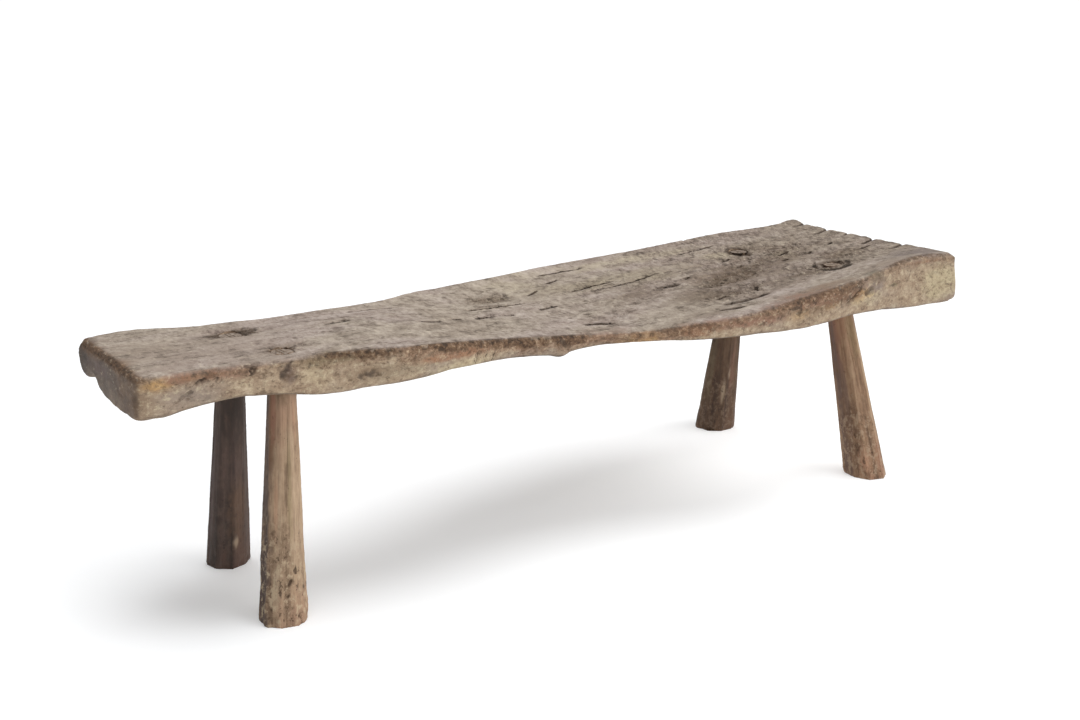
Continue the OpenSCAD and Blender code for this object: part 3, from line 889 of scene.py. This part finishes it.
def find_bands(p):
    """Finds the worn bands along the edges, and how far below the front edge the front's points lie."""
    x, sway, front = p.x, p.sway, p.front
    # the height of the front edge is that of the points that face half up
    edge = (p.face_z > 0.5) & (p.face_z < 0.85) & (p.face_y < -0.5)
    below = np.interp(x, *along_plank(x[edge], p.z[edge], np.mean)) - p.z
    tall = 11.0 - 5.0 * ease(x, 560.0, 640.0) - 3.0 * ease(x, 740.0, 780.0) + 6.0 * sway + 4.0 * p.fray
    band = ease(-p.face_y, 0.05, 0.4) * ease(tall - below, 0.0, 6.0)
    band *= ease(below, -10.0, -3.0) * np.interp(x + 12.0 * sway, *np.array(BAND_ALONG).T)
    end_arris = ease(p.face_z, 0.1, 0.5) * ease(np.abs(p.face_x), 0.08, 0.4)
    band = np.maximum(band, end_arris * (0.55 + 0.25 * np.sign(-x)))
    p.crumble(0.85 * band)

    # the back, and the band along its top
    back = ease(p.face_y, 0.05, 0.4) * ease(p.face_z + 0.7, 0.0, 0.5)
    p.crumble(back * (0.3 + 0.5 * ease(p.waves((160, 60, 40), 71.0), -0.2, 0.5)))
    back_band = ease(p.face_y, 0.05, 0.35) * ease(p.face_z, -0.05, 0.25)
    back_band *= ease(0.97 - p.face_z, 0.0, 0.2)
    p.band = np.maximum(band, back_band * ease(p.waves((150, 60, 60), 77.0), -0.4, 0.4) * 0.8)

    # the front crumbles below its edge, most in its broad half
    crumbly = 0.7 * ease(x, 120.0, 300.0) - 0.5 * ease(x, 520.0, 570.0) + 0.2 * ease(x, 600.0, 640.0)
    p.crumble(crumbly * front * ease(50.0 - below, 0.0, 30.0))
    p.crumble(0.45 * front * ease(30.0 - below, 0.0, 20.0) * ease(540.0 - x, 0.0, 40.0))
    p.below = np.where(front > 0.0, np.clip(below, 0.0, 60.0) / 60.0, 1.0)


def carve_plank(piece):
    """Cuts the weathering into the plank, and stores where each kind of wear lies."""
    mesh = piece.data
    p = PlankFace(mesh)
    hew(p)
    rot_seat(p)
    cut_checks(p)
    cut_round_tenons(p)
    rub_edges(p)
    raise_lips(p)
    carved, bite = wear_corners(p.mm + p.moved - p.facing * p.depth[:, None])
    move_points(mesh, inside_box(carved * MM, "slab"))
    find_bands(p)

    ragged = 0.3 * p.sway + 0.2 * p.fray
    marks = [(paint, off_middle(p.mm, at, reach) + ragged, most) for paint, at, reach, most in STAINS]
    keep_stains(mesh, marks)
    rusty = 0.55 * ease(p.x, -560.0, -430.0) - 0.2 * ease(p.x, 100.0, 250.0) - 0.2 * ease(p.x, 540.0, 580.0)
    # painted shade, with dirt: darker by the depth of the checks, pits, hollows and end bites, and in the
    # worn rings and hollows round the tenons
    dirt = p.cut / 6.0 + p.rot * p.pitted * 0.12 + p.scattered * 0.3 + bite / 12.0 + p.dark_round * p.up
    keep_number(mesh, "check_off", p.off)
    keep_masks(mesh, dirt=dirt, check_wide=p.wide, rusty=0.1 + rusty, crumbled=p.crumbled, band=p.band)
    keep_masks(mesh, seat=p.up, end_grain=p.end, underside=p.under, below_edge=p.below)


def carve_leg(piece, node, leg):
    """Cuts hewing, grain, checks and a battered foot into a leg, and stores its own grain directions."""
    mesh = piece.data
    places, facing = points_of(mesh)
    mm = places / MM
    foot = np.array([*leg["foot"], 0.0])
    axis = np.array([*leg["tenon"], SEAT_H]) - foot
    length = np.linalg.norm(axis)
    axis /= length
    across = np.cross((0.0, 1.0, 0.0), axis)
    across /= np.linalg.norm(across)
    deepwise = np.cross(axis, across)
    own = np.stack([(mm - foot) @ across, (mm - foot) @ deepwise, (mm - foot) @ axis], 1)
    t = own[:, 2]
    shift = leg["foot"][0] * 0.37
    shaft = 1.0 - ease(np.abs(facing @ axis), 0.55, 0.85)
    shaft *= 1.0 - ease(t, length - TENON_LEN - 5.0, length - TENON_LEN + 7.0)

    # hewing, with flats and fuller sides
    depth = (0.2 + 0.8 * waves(own, (26, 26, 95), shift)) * shaft
    turn = np.degrees(np.arctan2(own[:, 1], own[:, 0]))
    at_foot, at_neck = leg["widths"]
    half_width = at_foot + (at_neck - at_foot) * t / (length - TENON_LEN)
    for at, share in leg["flats"]:
        way = np.array([math.cos(math.radians(at)), math.sin(math.radians(at))])
        depth += shaft * np.clip(own[:, :2] @ way - share * half_width, 0.0, 6.0)
    for at, high, out in leg["fuller"]:
        beside = ease(50.0 - np.abs(round_from(turn, at)), 0.0, 50.0)
        depth -= shaft * out * beside * np.clip(1.0 - t / high, 0.0, 1.0)
    depth += shaft * 0.45 * np.abs(waves(own, (4.5, 4.5, 90), shift + 4.0))

    # the battered foot, its crust and its pits
    crust_side = 40.0 * np.cos(np.radians(turn + 150.0))
    battered = ease(165.0 + crust_side + 40.0 * waves(own, (20, 20, 40), shift + 9.0) - t, 0.0, 100.0)
    crust = waves(own, (19, 19, 26), shift + 14.0, 3)
    depth += shaft * battered * leg["crust"] * (0.5 + 1.2 * crust)
    pits = ease(waves(own, (10, 10, 13), shift + 21.0), 0.45, 0.85) * battered * leg["crust"]
    depth += shaft * pits * 1.6
    chips = ease(22.0 - t, 0.0, 18.0) * ease(waves(own, (22, 22, 60), shift + 27.0), 0.0, 0.7)
    depth += shaft * chips * 3.6

    # checks, and the worn end of the tenon
    fray = waves(own, (8, 8, 30), shift + 33.0)
    cut, off, wide = checks_at(turn + 2.0 * fray, t, leg["checks"])
    depth += cut * shaft
    top = ease(facing @ axis, 0.5, 0.85) * ease(t, length - 40.0, length - 20.0)
    depth += top * np.maximum(leg["low"] + 1.0 + 1.2 * waves(own, (9, 9, 40), shift + 40.0), 0.0)
    sole = ease(-facing[:, 2], 0.7, 0.95) * ease(30.0 - t, 0.0, 20.0)
    depth *= 1.0 - sole

    moved = places - facing * depth[:, None] * MM
    moved[:, 2] = np.maximum(moved[:, 2], 0.0)
    move_points(mesh, inside_box(moved, node))
    # painted shade on the tenon's side just below its end, where it stands in the worn ring; kept with the
    # dirt in the foot's pits
    gouge_shade = (1.0 - top) * ease(t, length - 26.0, length - 18.0) * leg["ring"]
    keep_number(mesh, "check_off", off)
    keep_masks(mesh, dirt=np.maximum(pits * 0.8, gouge_shade), check_wide=wide * shaft)
    keep_masks(mesh, crust=battered * leg["crust"], end_grain=top)
    layer = mesh.attributes.new("own_grain", "FLOAT_VECTOR", "POINT")
    layer.data.foreach_set("vector", (own * MM).astype(np.float32).ravel())
    # stains, and patches of painted shade, from the leg's list
    marks = []
    for paint, at, high, wide, tall, most in leg["stains"]:
        away = np.hypot(round_from(turn, at) / wide, (t - high) / tall)
        marks.append((paint, away + 0.3 * fray, most))
    keep_stains(mesh, marks)


# The finishes

GLOSS = 0.3


def tone(red, green, blue):
    """A colour as read off a screen, from 0 to 255, made linear."""
    parts = [c / 255.0 for c in (red, green, blue)]
    return tuple(c / 12.92 if c <= 0.04045 else ((c + 0.055) / 1.055) ** 2.4 for c in parts) + (1.0,)


class Finish:
    """A material in the making: each method adds one step and returns what comes out of it."""

    def __init__(self, name):
        self.material = bpy.data.materials.new(name)
        self.tree = bare_tree(self.material)

    def node(self, kind, sockets=None, **settings):
        return add_node(self.tree, kind, sockets, **settings)

    def place(self):
        """Where a point is on the object."""
        return self.node("TexCoord").outputs["Object"]

    def kept(self, name, what="Fac"):
        """What the mesh stores for a point: a Fac from 0 to 1, a Color with its Alpha, or a Vector."""
        return self.node("Attribute", attribute_name=name).outputs[what]

    def math(self, way, a, b=0.0):
        return self.node("Math", {0: a, 1: b}, operation=way).outputs[0]

    def times(self, a, b):
        return self.math("MULTIPLY", a, b)

    def plus(self, a, b):
        return self.math("ADD", a, b)

    def less(self, a, b):
        return self.math("SUBTRACT", a, b)

    def total(self, *parts):
        """The sum of some values, each times its share."""
        done = None
        for share, value in parts:
            part = self.times(value, share)
            done = part if done is None else self.plus(done, part)
        return done

    def vector(self, way, a, b):
        return self.node("VectorMath", {0: a, 1: b}, operation=way).outputs[0]

    def stretch(self, where, scale, shift=(0.0, 0.0, 0.0)):
        return self.node("Mapping", {"Vector": where, "Scale": scale, "Location": shift}).outputs["Vector"]

    def turned(self, where, degrees):
        """Places turned about the vertical."""
        sockets = {"Vector": where, "Angle": math.radians(degrees)}
        return self.node("VectorRotate", sockets, rotation_type="Z_AXIS").outputs["Vector"]

    def waver(self, where, scale, amount):
        """Bends places with broad noise, so that grain wanders."""
        sockets = {"Scale": 1.0, "Detail": 2.0, "Vector": self.stretch(where, scale)}
        sway = self.vector("SUBTRACT", self.node("TexNoise", sockets).outputs["Color"], (0.5, 0.5, 0.5))
        return self.vector("ADD", where, self.vector("MULTIPLY", sway, amount))

    def cloud(self, where, scale, detail, rough, shift=(0.0, 0.0, 0.0)):
        """Noise from 0 to 1 at a scale for each direction."""
        places = self.stretch(where, scale, shift)
        sockets = {"Scale": 1.0, "Detail": detail, "Roughness": rough, "Vector": places}
        return self.node("TexNoise", sockets).outputs["Fac"]

    def between(self, value, low, high):
        """0 at low and 1 at high, with a smooth rise; low may be the higher number."""
        rises = low < high
        sockets = {
            "Value": value, "From Min": min(low, high), "From Max": max(low, high),
            "To Min": 0.0 if rises else 1.0, "To Max": 1.0 if rises else 0.0,
        }
        return self.node("MapRange", sockets, interpolation_type="SMOOTHSTEP").outputs["Result"]

    def ramp(self, value, *stops):
        """Colours along a value: where each one is, and its red, green and blue as read off a screen."""
        node = self.node("ValToRGB", {"Fac": value})
        marks = node.color_ramp.elements
        while len(marks) < len(stops):
            marks.new(0.5)
        for mark, (at, *colour) in zip(marks, stops):
            mark.position = at
            mark.color = tone(*colour)
        return node.outputs["Color"]

    def blend(self, share, under, over):
        return self.node("Mix", {0: share, 6: under, 7: over}, data_type="RGBA").outputs[2]

    def check(self, wobble, core=0.62):
        """1 in a check, with ragged sides."""
        off = self.plus(self.kept("check_off"), self.times(self.less(wobble, 0.5), 3.0))
        line = self.between(self.math("ABSOLUTE", off), core, core * 0.5)
        return self.times(line, self.between(self.kept("check_wide"), 0.1, 0.7))

    def close(self, colour, rough, height, distance):
        """The wood's surface, with its relief."""
        relief = self.node("Bump", {"Strength": 1.0, "Distance": distance, "Height": height})
        sockets = {
            "Base Color": colour, "Roughness": rough, "Specular IOR Level": GLOSS,
            "Normal": relief.outputs["Normal"],
        }
        wood = self.node("BsdfPrincipled", sockets)
        self.node("OutputMaterial", {"Surface": wood.outputs["BSDF"]})
        return self.material


class PlankFinish(Finish):
    """The plank's finish, with the noises and the stored values that its steps share."""

    def __init__(self, name):
        super().__init__(name)
        here = self.place()
        bent = self.waver(here, (2.5, 6.0, 6.0), (0.0, 0.02, 0.015))
        bent = self.waver(bent, (9.0, 20.0, 20.0), (0.012, 0.006, 0.005))
        self.drift = self.cloud(here, (4.0, 8.0, 8.0), 3.0, 0.5)
        self.figure = self.cloud(bent, (5.0, 36.0, 36.0), 5.0, 0.62)
        self.mottle = self.cloud(bent, (30.0, 30.0, 36.0), 6.0, 0.68, (1.0, 4.0, 2.0))
        self.grit = self.cloud(here, (120.0, 85.0, 130.0), 5.0, 0.72, (5.0, 2.0, 7.0))
        self.pits = self.cloud(here, (66.0, 50.0, 76.0), 3.0, 0.6, (2.0, 9.0, 4.0))
        # blobs turned to lie along the studio camera's line of sight: they give the painted shade and
        # highlights of small bumps, and some of their relief
        self.relief_blobs = self.cloud(self.turned(here, -54.0), (26.0, 80.0, 60.0), 4.0, 0.6, (7.0, 1.0, 2.0))
        self.flakes = self.cloud(here, (64.0, 64.0, 100.0), 6.0, 0.74, (3.0, 6.0, 1.0))
        self.fibre = self.cloud(bent, (14.0, 260.0, 260.0), 4.0, 0.65)
        self.seat = self.kept("seat")
        self.under = self.kept("underside")
        self.end_grain = self.kept("end_grain")
        self.crumbled = self.kept("crumbled")
        self.band = self.kept("band")


def bare_plank(f):
    """The wood of the seat, the sides, the underside and the ends."""
    body = f.total((0.46, f.mottle), (0.14, f.figure), (0.4, f.grit))
    contrast = f.plus(f.times(f.crumbled, 0.3), 0.8)
    body = f.plus(f.times(f.less(body, 0.5), contrast), 0.5)
    pinkish = f.ramp(
        body, (0.39, 118, 103, 95), (0.46, 154, 139, 129), (0.53, 174, 160, 151), (0.61, 194, 182, 173))
    yellowish = f.ramp(
        body, (0.39, 110, 98, 85), (0.46, 151, 138, 124), (0.53, 173, 160, 146), (0.61, 194, 182, 166))
    seat_wood = f.blend(f.between(f.drift, 0.4, 0.6), pinkish, yellowish)
    seat_wood = f.blend(f.times(f.crumbled, 0.6), seat_wood, tone(126, 109, 92))
    side_wood = f.ramp(
        body, (0.38, 108, 87, 68), (0.45, 152, 129, 106), (0.54, 176, 155, 130), (0.63, 198, 179, 154))
    side_wood = f.blend(f.between(f.drift, 0.48, 0.66), side_wood, tone(158, 142, 128))
    grain = f.total((0.45, f.figure), (0.35, f.fibre), (0.2, f.grit))
    under_wood = f.ramp(grain, (0.4, 92, 77, 63), (0.5, 128, 110, 91), (0.6, 156, 138, 116))
    end_wood = f.ramp(body, (0.42, 66, 56, 49), (0.58, 118, 103, 90))
    wood = f.blend(f.seat, side_wood, seat_wood)
    wood = f.blend(f.under, wood, under_wood)
    return f.blend(f.times(f.end_grain, 0.85), wood, end_wood)


def stain_plank(f, wood):
    """Stains the wood, and adds rust below the front edge, flakes on the sides, and the worn bands."""
    share = f.times(f.kept("stain", "Alpha"), f.between(f.total((0.5, f.mottle), (0.5, f.grit)), 0.32, 0.54))
    wood = f.blend(share, wood, f.kept("stain", "Color"))
    crumbs = f.total((0.5, f.flakes), (0.5, f.grit))
    lower = f.plus(f.kept("below_edge"), f.times(f.less(f.mottle, 0.5), 0.9))
    rust = f.times(f.between(lower, 0.4, 0.1), f.kept("rusty"))
    rusty = f.ramp(
        crumbs, (0.4, 102, 77, 60), (0.48, 134, 102, 79), (0.56, 160, 127, 101), (0.64, 186, 156, 126))
    wood = f.blend(rust, wood, rusty)
    side = f.less(f.less(f.less(1.0, f.seat), f.end_grain), f.times(f.under, 0.9))
    flaked = f.plus(f.times(f.between(lower, 0.05, 0.35), 0.4), 0.15)
    pale = f.times(f.between(f.flakes, 0.54, 0.64), f.times(side, flaked))
    wood = f.blend(pale, wood, tone(206, 190, 160))
    brown = f.times(f.between(f.flakes, 0.45, 0.36), f.times(side, 0.6))
    wood = f.blend(brown, wood, tone(98, 78, 60))
    worn = f.ramp(f.grit, (0.38, 66, 49, 36), (0.47, 95, 71, 52), (0.56, 120, 94, 71), (0.66, 152, 124, 97))
    return f.blend(f.times(f.band, f.between(crumbs, 0.64, 0.52)), wood, worn)


def line_plank(f, wood):
    """Draws the thin dark lines of the grain, broken up."""
    line = f.between(f.math("ABSOLUTE", f.less(f.figure, 0.5)), 0.02, 0.0)
    line = f.times(line, f.between(f.mottle, 0.58, 0.42))
    f.line = f.times(line, f.plus(f.times(f.seat, 0.35), 0.15))
    wood = f.blend(f.line, wood, tone(80, 66, 54))
    return f.blend(f.times(f.between(f.fibre, 0.46, 0.3), 0.12), wood, tone(96, 80, 66))


def pit_plank(f, wood):
    """Adds dark specks and pits, the painted shade and painted highlights of small bumps, and light flecks.
    """
    speck = f.times(f.between(f.grit, 0.46, 0.34), f.plus(f.times(f.crumbled, 0.52), 0.12))
    wood = f.blend(speck, wood, tone(74, 60, 47))
    f.worked = f.times(f.seat, f.between(f.crumbled, 0.2, 0.7))
    # painted shade of small bumps
    pock_shade = f.times(f.between(f.relief_blobs, 0.48, 0.4), f.worked)
    wood = f.blend(f.times(pock_shade, 0.48), wood, tone(74, 60, 49))
    # painted highlight of small bumps
    chip_highlight = f.times(f.between(f.relief_blobs, 0.56, 0.64), f.worked)
    wood = f.blend(f.times(chip_highlight, 0.35), wood, tone(184, 170, 152))
    f.pit = f.times(f.between(f.pits, 0.44, 0.36), f.crumbled)
    wood = f.blend(f.times(f.pit, 0.85), wood, tone(58, 47, 37))
    fleck = f.less(f.plus(f.times(f.crumbled, 0.25), 0.3), f.times(f.band, 0.3))
    fleck = f.times(f.between(f.grit, 0.58, 0.68), f.less(fleck, f.times(f.under, 0.22)))
    return f.blend(fleck, wood, tone(208, 194, 168))


def soil_and_shade_plank(f, wood):
    """Adds dirt and painted shade by the depth of the cuts, with ragged edges, and paints shade into the
    open checks.
    """
    dirty = f.kept("dirt")
    ragged = f.total((1.0, dirty), (1.1, f.mottle), (0.9, f.grit))
    # painted shade and dirt, darker where the cuts are deeper
    dirt = f.times(f.between(ragged, 1.2, 1.62), f.between(dirty, 0.02, 0.3))
    wood = f.blend(f.times(dirt, 0.85), wood, f.ramp(f.grit, (0.4, 52, 42, 35), (0.6, 98, 82, 70)))
    # painted shade in the open checks, with dirt: they are coloured near black
    f.open = f.check(f.grit, 0.8)
    return f.blend(f.times(f.open, 0.88), wood, f.ramp(f.mottle, (0.42, 40, 32, 26), (0.6, 84, 67, 52)))


def plank_finish(name):
    """Weathered wood: a mottled grey-taupe seat, a tan front with stains, pitted where it has crumbled."""
    f = PlankFinish(name)
    wood = bare_plank(f)
    for step in (stain_plank, line_plank, pit_plank, soil_and_shade_plank):
        wood = step(f, wood)
    parts = [(0.2, f.fibre), (0.6, f.grit), (0.5, f.mottle), (-0.35, f.pit), (-0.6, f.line), (-0.8, f.open)]
    relief = f.total(*parts)
    relief = f.plus(relief, f.times(f.worked, f.relief_blobs))
    relief = f.plus(relief, f.times(f.crumbled, f.total((0.9, f.grit), (0.8, f.pits))))
    rough = f.plus(f.total((0.25, f.grit), (0.2, f.crumbled)), 0.58)
    return f.close(wood, rough, relief, 0.0034)


def tenon_end(f):
    """The colour of a tenon's worn end, which has weathered like the seat round it."""
    grit = f.cloud(f.place(), (150.0, 190.0, 150.0), 5.0, 0.7, (4.0, 4.0, 4.0))
    return f.ramp(grit, (0.38, 92, 78, 66), (0.47, 136, 121, 108), (0.6, 166, 152, 139))


def leg_finish(name, leg):
    """Dry hewn wood with its grain along the leg, stained and with patches of painted shade, with a
    battered, crusted foot.
    """
    dark, middle, light, *others = leg["tones"]
    warm, pale_crust, dark_crust = [tone(*colour) for colour in others]
    f = Finish(name)
    own = f.waver(f.kept("own_grain", "Vector"), (14.0, 14.0, 3.0), (0.006, 0.006, 0.0))
    figure = f.cloud(own, (40.0, 40.0, 3.0), 4.0, 0.6)
    fibre = f.cloud(own, (220.0, 220.0, 9.0), 4.0, 0.65)
    drift = f.cloud(own, (15.0, 15.0, 7.0), 3.0, 0.5)
    mottle = f.cloud(own, (60.0, 60.0, 34.0), 5.0, 0.68)
    crumbs = f.cloud(own, (85.0, 85.0, 62.0), 5.0, 0.72, (0.0, 3.0, 1.0))
    body = f.total((0.5, figure), (0.3, mottle), (0.2, fibre))
    wood = f.ramp(body, (0.4, *dark), (0.5, *middle), (0.6, *light))
    wood = f.blend(f.between(drift, 0.48, 0.66), wood, warm)
    # the stains, among them the painted shade on the legs' shaded sides and under the seat
    share = f.times(f.kept("stain", "Alpha"), f.between(f.total((0.6, mottle), (0.4, figure)), 0.3, 0.5))
    wood = f.blend(share, wood, f.kept("stain", "Color"))
    wood = f.blend(f.times(f.between(fibre, 0.5, 0.3), leg["lines"]), wood, tone(*dark))
    crust = f.kept("crust")
    scab = f.times(crust, f.between(crumbs, 0.5, 0.6))
    wood = f.blend(f.times(scab, 0.75), wood, pale_crust)
    stain = f.times(crust, f.between(crumbs, 0.44, 0.36))
    wood = f.blend(f.times(stain, 0.8), wood, dark_crust)
    wood = f.blend(f.times(f.between(crumbs, 0.38, 0.32), 0.5), wood, dark_crust)
    wood = f.blend(f.times(f.kept("end_grain"), 0.9), wood, tenon_end(f))
    # dirt and painted shade in the foot's pits, and painted shade on the tenon's side just below its end
    wood = f.blend(f.times(f.between(f.kept("dirt"), 0.05, 0.8), 0.85), wood, dark_crust)
    # painted shade in the checks, with dirt
    wood = f.blend(f.times(f.check(crumbs), 0.7), wood, dark_crust)
    relief = f.total((0.8, fibre), (0.5, crumbs), (0.5, mottle))
    relief = f.plus(relief, f.times(crust, f.total((1.2, crumbs))))
    rough = f.plus(f.times(fibre, 0.25), 0.6)
    return f.close(wood, rough, relief, 0.0022)


def wedge_finish():
    """End-worn dry wood for the wedges."""
    f = Finish("wedge_dry_wood")
    here = f.waver(f.place(), (20.0, 20.0, 6.0), (0.004, 0.004, 0.0))
    fibre = f.cloud(here, (420.0, 420.0, 30.0), 4.0, 0.65)
    side = f.ramp(fibre, (0.32, 70, 56, 44), (0.5, 112, 94, 76), (0.68, 146, 126, 104))
    wood = f.blend(f.kept("end_grain"), side, tenon_end(f))
    return f.close(wood, f.plus(f.times(fibre, 0.2), 0.65), fibre, 0.0012)


# The making of the pieces: the cells they are remeshed in, and the most triangles that the plank may have

PLANK_CELL = 0.0024
LEG_CELL = 0.0016
WEDGE_CELL = 0.001
MOST_TRIANGLES = 196000


def make_plank():
    plank = fine_copy("slab", "hewn_plank", PLANK_CELL, 7)
    carve_plank(plank)
    thin_out(plank, MOST_TRIANGLES)
    plank.data.materials.clear()
    plank.data.materials.append(plank_finish("weathered_plank_wood"))
    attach(plank, "root")
    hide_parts("slab")


def make_legs():
    for node, leg in LEGS.items():
        piece = fine_copy(node, "hewn_" + node, LEG_CELL, 3)
        carve_leg(piece, node, leg)
        piece.data.shade_smooth()
        piece.data.materials.clear()
        piece.data.materials.append(leg_finish("hewn_wood_of_" + node, leg))
        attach(piece, "root")
        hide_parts(node)
        # the back legs' wood is darker, with painted shade
        "tan_leg_wood" if "front" in node else "dark_leg_wood"


def make_wedges():
    """The wedges, worn down with the tenons that they spread."""
    dry = wedge_finish()
    for node, leg in LEGS.items():
        wedge = node.replace("leg_", "wedge_")
        piece = fine_copy(wedge, "worn_" + wedge, WEDGE_CELL, 1)
        mesh = piece.data
        places, facing = points_of(mesh)
        mm = places / MM
        top = ease(facing[:, 2], 0.5, 0.85) * ease(mm[:, 2], SEAT_H - 40.0, SEAT_H - 25.0)
        worn = top * np.maximum(leg["low"] + 1.0 + 1.0 * waves(mm, (9, 9, 40), 61.0), 0.0)
        move_points(mesh, inside_box(places - facing * worn[:, None] * MM, wedge))
        keep_masks(mesh, end_grain=top)
        mesh.shade_smooth()
        mesh.materials.clear()
        mesh.materials.append(dry)
        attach(piece, "root")
        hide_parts(wedge)


make_plank()
make_legs()
make_wedges()
